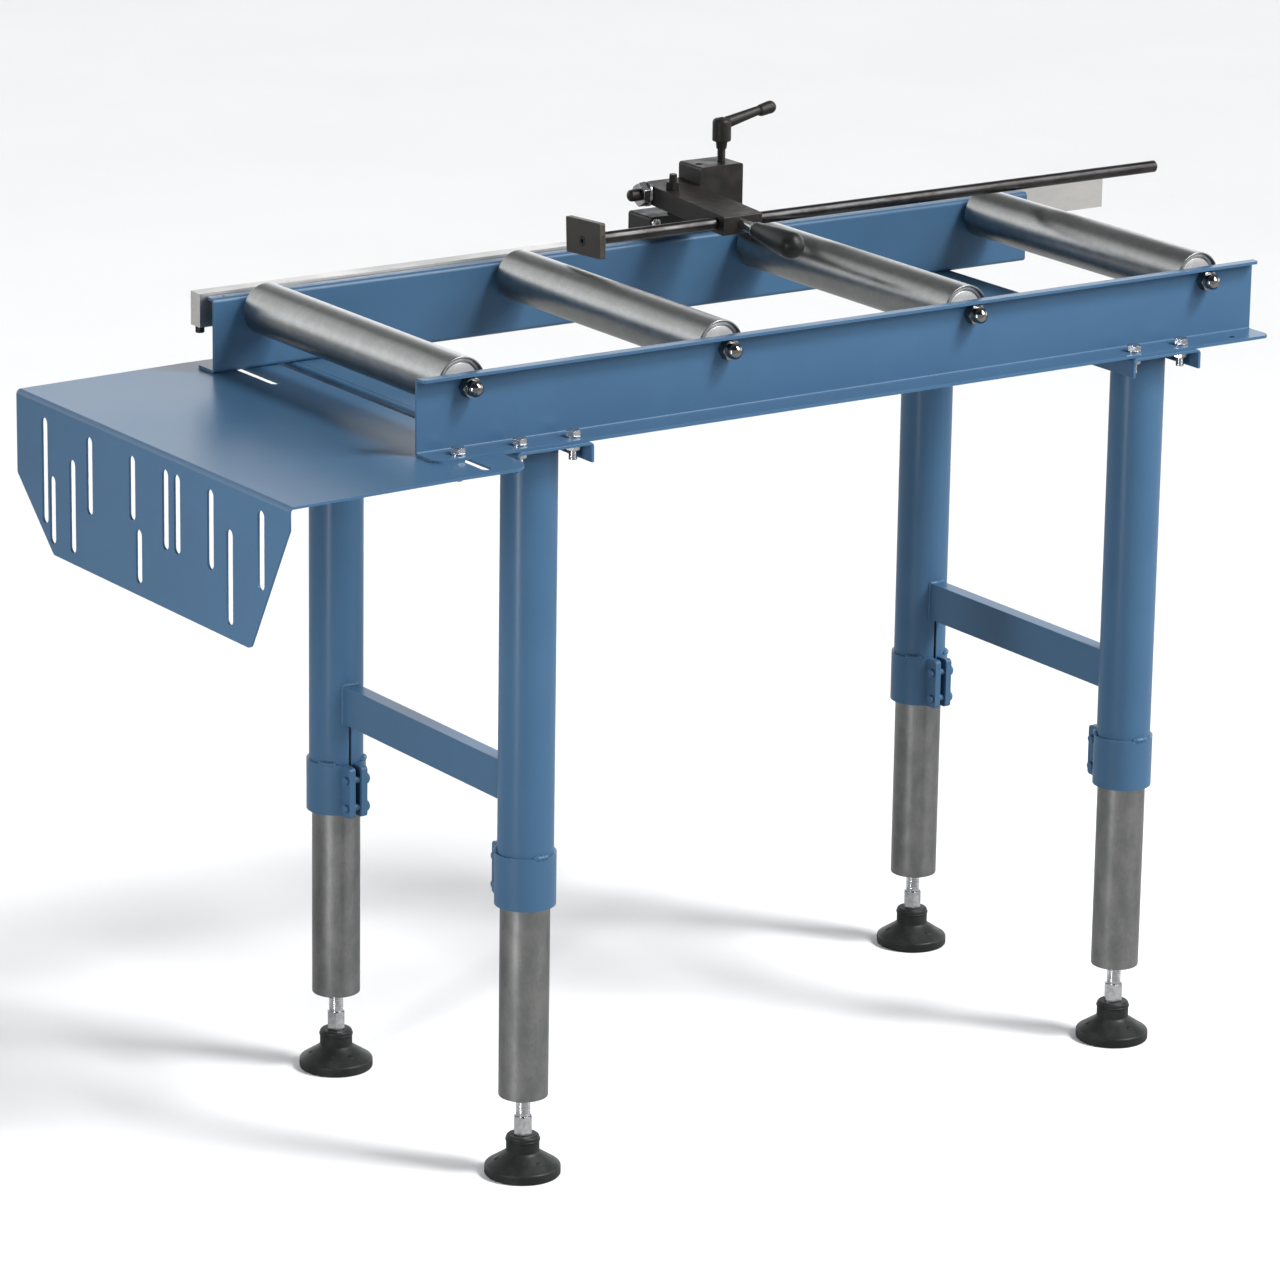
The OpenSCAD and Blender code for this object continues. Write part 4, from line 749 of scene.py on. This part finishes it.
def thread(work, start, along, radius, reach, pitch, height, steps):
    """Adds a helical thread ridge on a round shank, from start and for reach metres along."""
    along = along.normalized()
    side = along.orthogonal().normalized()
    up = along.cross(side)
    total = max(2, int(reach / pitch * steps))
    rows = []
    for i in range(total + 1):
        turn = 2 * math.pi * i / steps
        out = side * math.cos(turn) + up * math.sin(turn)
        middle = start + along * (reach * i / total)
        run_out = steps * RUN_OUT_TURNS
        crest = radius + height * min(1.0, i / run_out, (total - i) / run_out)
        root = radius - ROOT_SINK
        rows.append([
            work.verts.new(middle + along * (share * pitch) + out * r)
            for share, r in ((-RIDGE_ROOT, root), (-RIDGE_CREST, crest),
                             (RIDGE_CREST, crest), (RIDGE_ROOT, root))
        ])
    for first, second in zip(rows, rows[1:]):
        for k in range(3):
            work.faces.new((first[k], first[k + 1], second[k + 1], second[k]))


def lathe(work, place, profile, segments=48):
    """Adds a solid of revolution: profile is (radius, height) pairs along the z axis of place."""
    rows = []
    for radius, height in profile:
        if radius < 1e-9:
            rows.append([work.verts.new(place @ Vector((0.0, 0.0, height)))])
        else:
            rows.append([
                work.verts.new(place @ Vector((radius * math.cos(a), radius * math.sin(a), height)))
                for a in (2 * math.pi * k / segments for k in range(segments))
            ])
    for first, second in zip(rows, rows[1:]):
        for k in range(segments):
            n = (k + 1) % segments
            if len(first) == 1 and len(second) > 1:
                work.faces.new((first[0], second[k], second[n]))
            elif len(second) == 1 and len(first) > 1:
                work.faces.new((first[k], second[0], first[n]))
            elif len(first) > 1:
                work.faces.new((first[k], first[n], second[n], second[k]))


def middle(node):
    """Middle of a CAD node's box."""
    low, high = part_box(node)
    return (Vector(low) + Vector(high)) / 2


def size(node):
    """Edge lengths of a CAD node's box."""
    low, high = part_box(node)
    return Vector(high) - Vector(low)


def inward(leg):
    """Unit step in Y from a leg towards the leg on the other side: +1 for the front legs."""
    return 1.0 if leg.startswith("f") else -1.0


def leg_axis(leg):
    """X and Y of a leg's axis."""
    return middle(f"inner_tube_{leg}").xy


# Operators

class STAND_OT_camera(bpy.types.Operator):
    """Place the camera that looks at the stand from its front left"""
    bl_idname = "stand.camera"
    bl_label = "Camera"

    def execute(self, context):
        yaw, pitch, roll = (math.radians(a) for a in CAMERA_TURN)
        level = math.cos(pitch)
        ahead = Vector((-math.sin(yaw) * level, math.cos(yaw) * level, math.sin(pitch)))
        right = Vector((math.cos(yaw), math.sin(yaw), 0.0))
        up = right.cross(ahead)
        tilted_right = right * math.cos(roll) + up * math.sin(roll)
        tilted_up = up * math.cos(roll) - right * math.sin(roll)
        data = bpy.data.cameras.new("camera")
        data.lens = studio().lens
        data.sensor_width = SENSOR_WIDTH
        data.clip_start, data.clip_end = 0.1, 100.0
        camera = bpy.data.objects.new("camera", data)
        turn = Matrix((tilted_right, tilted_up, -ahead)).transposed().to_4x4()
        camera.matrix_world = Matrix.Translation(CAMERA_PLACE) @ turn
        context.scene.collection.objects.link(camera)
        context.scene.camera = camera
        return {"FINISHED"}


class STAND_OT_sheet_metal(bpy.types.Operator):
    """Enamel the rails, the tray, the beams, the tubes and the collars"""
    bl_idname = "stand.sheet_metal"
    bl_label = "Enamelled sheet metal"

    def execute(self, context):
        paint = made("blue_enamel", enamel)
        r = details().edge_round
        for node in ("front_rail", "back_rail", "tray", "head_beam_left", "head_beam_right",
                     "cross_bar_left", "cross_bar_right"):
            dress(node, paint, r)
        for leg in LEGS:
            dress(f"upper_tube_{leg}", paint, r)
            dress(f"collar_{leg}", paint, r * COLLAR_ROUNDER)
        return {"FINISHED"}


class STAND_OT_welds(bpy.types.Operator):
    """Lay the weld beads that join tubes, cross bars, beams and collars"""
    bl_idname = "stand.welds"
    bl_label = "Weld beads"

    def tube_head(self, leg, radius):
        """Ring of weld where an upper tube meets the underside of its head beam."""
        x, y = leg_axis(leg)
        tube_r = size(f"upper_tube_{leg}").x / 2
        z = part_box(f"upper_tube_{leg}")[1][2] - radius * 0.25
        centre = Vector((x, y, z))
        path = [centre + Vector((math.cos(a), math.sin(a), 0.0)) * (tube_r + radius * 0.2)
                for a in (2 * math.pi * k / HEAD_WELD_STEPS for k in range(HEAD_WELD_STEPS))]

        def outward(p):
            return (p - centre).normalized() + Vector((0, 0, -1))

        work = bmesh.new()
        bead(work, path, outward, radius, True, weld_seed(leg, 1))
        return work

    def bar_end(self, leg, bar, radius):
        """Rectangle of weld round the end of a cross bar, wrapped on the tube."""
        x, y = leg_axis(leg)
        tube_r = size(f"upper_tube_{leg}").x / 2
        low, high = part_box(bar)
        x0, x1, z0, z1 = low[0], high[0], low[2], high[2]
        to_middle = inward(leg)
        corners = [(x0, z0), (x1, z0), (x1, z1), (x0, z1)]
        flat = []
        for (ax, az), (bx, bz) in zip(corners, corners[1:] + corners[:1]):
            reach = math.hypot(bx - ax, bz - az)
            steps = max(2, int(reach / BAR_WELD_STEP))
            flat += [(ax + (bx - ax) * k / steps, az + (bz - az) * k / steps) for k in range(steps)]
        centre = Vector(((x0 + x1) / 2, y, (z0 + z1) / 2))
        path = [Vector((px, y + to_middle * math.sqrt(tube_r ** 2 - (px - x) ** 2), pz))
                for px, pz in flat]

        def outward(p):
            away = Vector((p.x - centre.x, 0.0, (p.z - centre.z) * (x1 - x0) / (z1 - z0)))
            return away.normalized() + Vector((0.0, to_middle * 0.6, 0.0))

        work = bmesh.new()
        bead(work, path, outward, radius * BAR_WELD_SHARE, True, weld_seed(leg, 2))
        return work

    def tacks(self, leg, radius):
        """Three short welds on top of a collar: opposite its slit, and either side of the slit."""
        x, y = leg_axis(leg)
        tube_r = size(f"upper_tube_{leg}").x / 2
        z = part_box(f"collar_{leg}")[1][2]
        centre = Vector((x, y, z))
        slit = math.pi / 2 * inward(leg)
        span = details().tack_length / tube_r
        up = Vector((0, 0, TACK_UP))

        def outward(p):
            return (p - centre).normalized() * 0.6 + Vector((0, 0, 1))

        work = bmesh.new()
        for n, turn in enumerate((math.pi, math.radians(TACK_TURN), math.radians(-TACK_TURN))):
            turns = [slit + turn + span * (k / TACK_STEPS - 0.5) for k in range(TACK_STEPS + 1)]
            path = [centre + Vector((math.cos(a), math.sin(a), 0.0)) * (tube_r + TACK_OUT) + up
                    for a in turns]
            bead(work, path, outward, radius * TACK_SHARE, False, weld_seed(leg, 3 + n))
        return work

    def execute(self, context):
        paint = made("blue_enamel", enamel)
        radius = details().weld_size
        for leg in LEGS:
            bar = "cross_bar_left" if leg.endswith("l") else "cross_bar_right"
            for name, work in (("tube_head_weld", self.tube_head(leg, radius)),
                               ("cross_bar_weld", self.bar_end(leg, bar, radius)),
                               ("collar_tacks", self.tacks(leg, radius))):
                piece_from(f"{name}_{leg}", work, paint, "frame")
        return {"FINISHED"}


def weld_seed(leg, number):
    """A fixed seed for each weld."""
    return SEEDS_PER_LEG * LEGS.index(leg) + number


class STAND_OT_rollers(bpy.types.Operator):
    """Finish the roller tubes and their bearing housings, and add the bearing seals"""
    bl_idname = "stand.rollers"
    bl_label = "Rollers"

    def execute(self, context):
        for n in ROLLERS:
            dress(f"roller_tube_{n}", made("rolled_zinc", rolled_zinc), ROUND_ROLLER)
            dress(f"roller_end_{n}", made("pressed_zinc", pressed_zinc), ROUND_SCREW)
            centre = middle(f"roller_tube_{n}")
            out = size(f"roller_end_{n}").y / 2 - SEAL_DEPTH
            work = bmesh.new()
            for s in (-1.0, 1.0):
                place = Matrix.Translation(centre + Vector((0.0, s * out, 0.0)))
                place @= Matrix.Rotation(-s * math.pi / 2, 4, "X")
                lathe(work, place, SEAL)
            rubber = made("seal_rubber", seal_rubber)
            piece_from(f"bearing_seals_{n}", work, rubber, f"roller_{n}")
        return {"FINISHED"}


class STAND_OT_axles(bpy.types.Operator):
    """Finish the axles, their cap nuts and their low nuts"""
    bl_idname = "stand.axles"
    bl_label = "Axles and nuts"

    def execute(self, context):
        dress("axles", made("drawn_steel", drawn_steel), ROUND_SCREW)
        dress("axle_nuts", made("polished_nickel", polished_nickel), ROUND_SCREW)
        return {"FINISHED"}


class STAND_OT_bolts(bpy.types.Operator):
    """Finish the bolts of rails, tray and collars, and add the threads below the nuts"""
    bl_idname = "stand.bolts"
    bl_label = "Bolts"

    def execute(self, context):
        zinc = made("bolt_zinc", bolt_zinc)
        dress("frame_bolts", zinc, ROUND_SCREW)
        dress("tray_bolts", zinc, ROUND_SCREW)
        dress("collar_screws", made("blue_enamel", enamel), ROUND_TURNED)
        pitch, steps = details().screw_pitch, details().thread_steps // 2
        height = details().thread_height * BOLT_THREAD
        for node in ("frame_bolts", "tray_bolts"):
            work = bmesh.new()
            for x, y, low in self.bolt_ends(node):
                thread(work, Vector((x, y, low + 0.0003)), Vector((0, 0, 1)), BOLT_R,
                       BOLT_END - 0.0005, pitch, height, steps)
            piece_from(f"{node}_threads", work, zinc, "frame")
        return {"FINISHED"}

    def bolt_ends(self, node):
        """X, Y and lower end of each bolt, read off the node's own vertices."""
        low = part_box(node)[0][2]
        ends = []
        for point in (v.co for v in frame["nodes"][node].data.vertices):
            if point.z < low + BOLT_END_BAND:
                for ring in ends:
                    if math.hypot(ring[0].x - point.x, ring[0].y - point.y) < BOLT_REACH:
                        ring.append(point.copy())
                        break
                else:
                    ends.append([point.copy()])
        rows = []
        for ring in ends:
            xs, ys = [p.x for p in ring], [p.y for p in ring]
            rows.append(((min(xs) + max(xs)) / 2, (min(ys) + max(ys)) / 2, low))
        return rows


class STAND_OT_legs(bpy.types.Operator):
    """Finish the inner tubes and the plugs in their lower ends"""
    bl_idname = "stand.legs"
    bl_label = "Inner legs"

    def execute(self, context):
        for leg in LEGS:
            dress(f"inner_tube_{leg}", made("dull_zinc", dull_zinc), ROUND_MILLED)
            dress(f"tube_plug_{leg}", made("turned_steel", turned_steel), ROUND_TURNED)
        return {"FINISHED"}


class STAND_OT_feet(bpy.types.Operator):
    """Finish the threaded stems and the moulded pads of the feet"""
    bl_idname = "stand.feet"
    bl_label = "Feet"

    def execute(self, context):
        zinc = made("bolt_zinc", bolt_zinc)
        plastic = made("moulded_foot", moulded_foot)
        for leg in LEGS:
            dress(f"foot_stem_{leg}", zinc, ROUND_SCREW)
            dress(f"foot_pad_{leg}", plastic, ROUND_MOULDED)
            x, y = leg_axis(leg)
            pad_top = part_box(f"foot_pad_{leg}")[1][2]
            tube_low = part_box(f"inner_tube_{leg}")[0][2]
            hexagon_top = pad_top + HEXAGON_TOP
            work = bmesh.new()
            thread(work, Vector((x, y, hexagon_top + STEM_THREAD_GAP)), Vector((0, 0, 1)), STEM_R,
                   tube_low - hexagon_top + STEM_THREAD_IN, details().stem_pitch,
                   details().thread_height * SCREW_THREAD, details().thread_steps)
            piece_from(f"stem_thread_{leg}", work, zinc, f"stem_{leg}")
            work = bmesh.new()
            lathe(work, Matrix.Translation((x, y, 0.0)),
                  [(HUB_R + out, pad_top - down) for out, down in HUB_RIDGE])
            for k in range(PAD_MARKS):
                a = math.radians(PAD_MARK_TURN + 360 / PAD_MARKS * k)
                out = Vector((math.cos(a), math.sin(a), 0.0)) * PAD_MARK_OUT
                slope = Matrix.Translation(Vector((x, y, PAD_MARK_UP)) + out)
                slope @= Matrix.Rotation(a, 4, "Z")
                slope @= Matrix.Rotation(math.radians(PAD_MARK_SLOPE), 4, "Y")
                lathe(work, slope, PAD_MARK, 20)
            piece_from(f"pad_marks_{leg}", work, plastic, f"foot_{leg}")
        return {"FINISHED"}


class STAND_OT_stop_bar(bpy.types.Operator):
    """Finish the stop bar with its spacers and screws"""
    bl_idname = "stand.stop_bar"
    bl_label = "Stop bar"

    def execute(self, context):
        dress("stop_bar", made("ground_bar", ground_bar), ROUND_MOULDED)
        dress("bar_spacers", made("drawn_steel", drawn_steel), ROUND_SCREW)
        dress("bar_screws", made("black_screw", black_screw), ROUND_SCREW)
        return {"FINISHED"}


class STAND_OT_carriage(bpy.types.Operator):
    """Finish the carriage, the flip-up arm, the pivot and the rest screw"""
    bl_idname = "stand.carriage"
    bl_label = "Carriage and arm"

    def execute(self, context):
        steel = made("milled_black", black_steel)
        screw = made("black_screw", black_screw)
        zinc = made("bolt_zinc", bolt_zinc)
        dress("carriage", steel, ROUND_MILLED)
        dress("stop_arm", steel, ROUND_MILLED)
        dress("carriage_screw", zinc, ROUND_SCREW)
        dress("pivot_bolt", screw, ROUND_SCREW)
        dress("pivot_nut", zinc, ROUND_SCREW)
        dress("rest_screw", screw, ROUND_SCREW)
        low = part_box("pivot_bolt")[0]
        nut_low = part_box("pivot_nut")[0][0]
        centre = middle("pivot_bolt")
        work = bmesh.new()
        thread(work, Vector((low[0] + 0.0035, centre.y, centre.z)), Vector((1, 0, 0)), PIVOT_R,
               nut_low - low[0] - 0.004, PIVOT_PITCH, details().thread_height * SCREW_THREAD,
               details().thread_steps)
        piece_from("pivot_thread", work, screw, "slider")
        return {"FINISHED"}


class STAND_OT_lever(bpy.types.Operator):
    """Finish the clamping lever and its stud"""
    bl_idname = "stand.lever"
    bl_label = "Clamping lever"

    def execute(self, context):
        screw = made("black_screw", black_screw)
        dress("clamp_stud", screw, ROUND_SCREW)
        dress("clamp_lever", made("powder_black", powder_black), ROUND_MOULDED)
        centre = middle("clamp_stud")
        radius = size("clamp_stud").x / 2
        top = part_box("carriage")[1][2]
        lever_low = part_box("clamp_lever")[0][2]
        work = bmesh.new()
        thread(work, Vector((centre.x, centre.y, top + 0.0004)), Vector((0, 0, 1)), radius,
               lever_low - top - 0.0008, details().screw_pitch,
               details().thread_height * SCREW_THREAD, details().thread_steps)
        piece_from("stud_thread", work, screw, frame_body("clamp_stud"))
        return {"FINISHED"}


def frame_body(node):
    """Name of the body that a CAD node rides on."""
    for body, members in frame["record"]["behaviour"]["bodies"].items():
        if node in members:
            return body
    raise RuntimeError(f"no body has the node {node}")


class STAND_OT_rod(bpy.types.Operator):
    """Finish the stop rod, its plate, and the grip with its stud"""
    bl_idname = "stand.rod"
    bl_label = "Rod, plate and grip"

    def execute(self, context):
        dress("stop_rod", made("dark_rod", dark_rod), ROUND_TURNED)
        dress("stop_plate", made("worn_plate", worn_plate), ROUND_MOULDED)
        dress("plate_screw", made("black_screw", black_screw), ROUND_COUNTERSUNK)
        zinc = made("bolt_zinc", bolt_zinc)
        plastic = made("hand_grip", grip_plastic)
        dress("grip_stud", zinc, ROUND_SCREW)
        dress("grip", plastic, ROUND_MOULDED)
        place, body = self.stud_end(), frame_body("grip")
        neck = details().grip_neck
        work = bmesh.new()
        lathe(work, place @ Matrix.Translation((0.0, 0.0, neck)), self.grip_profile(), 64)
        grip = piece_from("hand_grip", work, plastic, body)
        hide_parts("grip")
        work = bmesh.new()
        lathe(work, place @ Matrix.Translation((0.0, 0.0, neck - SOCKET_DEPTH)), FERRULE)
        piece_from("grip_ferrule", work, zinc, body)
        return {"FINISHED"}

    def stud_end(self):
        """Place on the stud's axis where the CAD grip starts, with z pointing along the grip."""
        vertices = frame["nodes"]["grip_stud"].data.vertices
        points = sorted((v.co for v in vertices), key=lambda co: co.y)
        half = len(points) // 2
        front = sum((p for p in points[:half]), Vector()) / half
        back = sum((p for p in points[-half:]), Vector()) / half
        ahead = (front - back).normalized()
        start = front - ahead * details().grip_socket
        return Matrix.Translation(start) @ ahead.to_track_quat("Z", "X").to_matrix().to_4x4()

    def grip_profile(self):
        """Pear shape of the grip: blind socket, rounded neck, swelling body and round end."""
        widening = GRIP_WIDE - GRIP_NARROW
        swell = GRIP_REACH - GRIP_WIDE
        rows = [(0.0, SOCKET_DEPTH), (SOCKET_R, SOCKET_DEPTH), (SOCKET_R, 0.0),
                (GRIP_NARROW - NECK_ROUND, 0.0), (GRIP_NARROW - 0.0003, 0.0003),
                (GRIP_NARROW, NECK_ROUND)]
        for k in range(1, SWELL_STEPS + 1):
            share = k / SWELL_STEPS
            rows.append((GRIP_NARROW + widening * math.sin(share * math.pi / 2) ** SWELL_BEND,
                         NECK_ROUND + (swell - NECK_ROUND) * share))
        for k in range(1, END_STEPS + 1):
            a = k / END_STEPS * math.pi / 2
            rows.append((GRIP_WIDE * math.cos(a) if k < END_STEPS else 0.0,
                         swell + GRIP_WIDE * math.sin(a)))
        return rows


class STAND_OT_studio(bpy.types.Operator):
    """Set up the pale floor and the soft lamps"""
    bl_idname = "stand.studio"
    bl_label = "Studio"

    def lamp(self, context, name, place, aim, width, height, power):
        data = bpy.data.lights.new(name, "AREA")
        data.shape = "RECTANGLE"
        data.size, data.size_y = width, height
        data.energy = power
        lamp = bpy.data.objects.new(name, data)
        lamp.location = place
        lamp.rotation_mode = "QUATERNION"
        lamp.rotation_quaternion = (Vector(aim) - Vector(place)).to_track_quat("-Z", "Y")
        lamp.visible_camera = False
        context.scene.collection.objects.link(lamp)

    def execute(self, context):
        work = bmesh.new()
        rings = [(r, 0.0) for r in (*FLOOR_RINGS, studio().floor_radius)]
        lathe(work, Matrix.Translation((0.0, 0.0, CAD_BOX[0][2] - FLOOR_GAP)), rings, 96)
        mesh = bpy.data.meshes.new("floor")
        work.to_mesh(mesh)
        work.free()
        mesh.materials.append(studio_floor("studio_floor"))
        floor = bpy.data.objects.new("floor", mesh)
        context.scene.collection.objects.link(floor)
        data = bpy.data.lights.new("main_light", "SUN")
        data.energy = studio().sun
        data.angle = math.radians(SUN_WIDTH)
        sun = bpy.data.objects.new("main_light", data)
        sun.rotation_mode = "QUATERNION"
        sun.rotation_quaternion = Vector(SUN_WAY).to_track_quat("-Z", "Y")
        context.scene.collection.objects.link(sun)
        for name, place, aim, width, height, power in (
            ("key_lamp", (1.3, -2.0, 2.2), LAMP_AIM, 1.4, 1.4, studio().key_power),
            ("back_lamp", (-1.5, 3.2, 2.6), LAMP_AIM, 2.4, 1.5, studio().back_power),
            ("strip_lamp", (-1.96, -0.65, 0.65), (0.0, -0.1, 0.35), 0.12, 1.2, studio().side_power),
        ):
            self.lamp(context, name, place, aim, width, height, power)
        world = bpy.data.worlds.new("studio")
        world.use_nodes = True
        tree = world.node_tree
        nodes, links = tree.nodes, tree.links
        way = nodes.new("ShaderNodeTexCoord").outputs["Generated"]
        height = nodes.new("ShaderNodeSeparateXYZ")
        links.new(way, height.inputs["Vector"])
        fall = map_range(tree, height.outputs["Z"], FALL_LOW, FALL_HIGH,
                         studio().horizon, studio().sky)
        behind = nodes.new("ShaderNodeVectorMath")
        behind.operation = "DOT_PRODUCT"
        behind.inputs[1].default_value = BEHIND
        links.new(way, behind.inputs[0])
        share = map_range(tree, behind.outputs["Value"], FRONT_DIM, BACK_FULL,
                          studio().front_share, 1.0)
        light = nodes.new("ShaderNodeMath")
        light.operation = "MULTIPLY"
        links.new(fall, light.inputs[0])
        links.new(share, light.inputs[1])
        nodes["Background"].inputs["Color"].default_value = BACKDROP_COLOUR
        links.new(light.outputs["Value"], nodes["Background"].inputs["Strength"])
        context.scene.world = world
        context.scene.view_settings.view_transform = "Standard"
        return {"FINISHED"}


OPERATORS = (
    STAND_OT_camera, STAND_OT_sheet_metal, STAND_OT_welds, STAND_OT_rollers, STAND_OT_axles,
    STAND_OT_bolts, STAND_OT_legs, STAND_OT_feet, STAND_OT_stop_bar, STAND_OT_carriage,
    STAND_OT_lever, STAND_OT_rod, STAND_OT_studio,
)


class STAND_PT_sidebar(bpy.types.Panel):
    """Sidebar panel with the stand's operators and settings"""
    bl_idname = "STAND_PT_sidebar"
    bl_label = "Roller stand"
    bl_space_type = "VIEW_3D"
    bl_region_type = "UI"
    bl_category = "Roller stand"

    def draw(self, context):
        for operator in OPERATORS:
            self.layout.operator(operator.bl_idname)
        scene = context.scene
        for group in (scene.stand_finishes, scene.stand_details, scene.stand_studio):
            box = self.layout.box()
            for name in group.bl_rna.properties.keys():
                if name not in ("rna_type", "name"):
                    box.prop(group, name)


GROUPS = (
    (StandFinishes, "stand_finishes"),
    (StandDetails, "stand_details"),
    (StandStudio, "stand_studio"),
)


def register():
    for group, name in GROUPS:
        bpy.utils.register_class(group)
        setattr(bpy.types.Scene, name, PointerProperty(type=group))
    for item in (*OPERATORS, STAND_PT_sidebar):
        bpy.utils.register_class(item)


def unregister():
    for item in reversed((*OPERATORS, STAND_PT_sidebar)):
        bpy.utils.unregister_class(item)
    for group, name in reversed(GROUPS):
        delattr(bpy.types.Scene, name)
        bpy.utils.unregister_class(group)


def main():
    """Dresses the stand piece by piece."""
    register()
    for name in ("camera", "sheet_metal", "welds", "rollers", "axles", "bolts", "legs", "feet",
                 "stop_bar", "carriage", "lever", "rod", "studio"):
        getattr(bpy.ops.stand, name)()


if __name__ == "__main__":
    main()
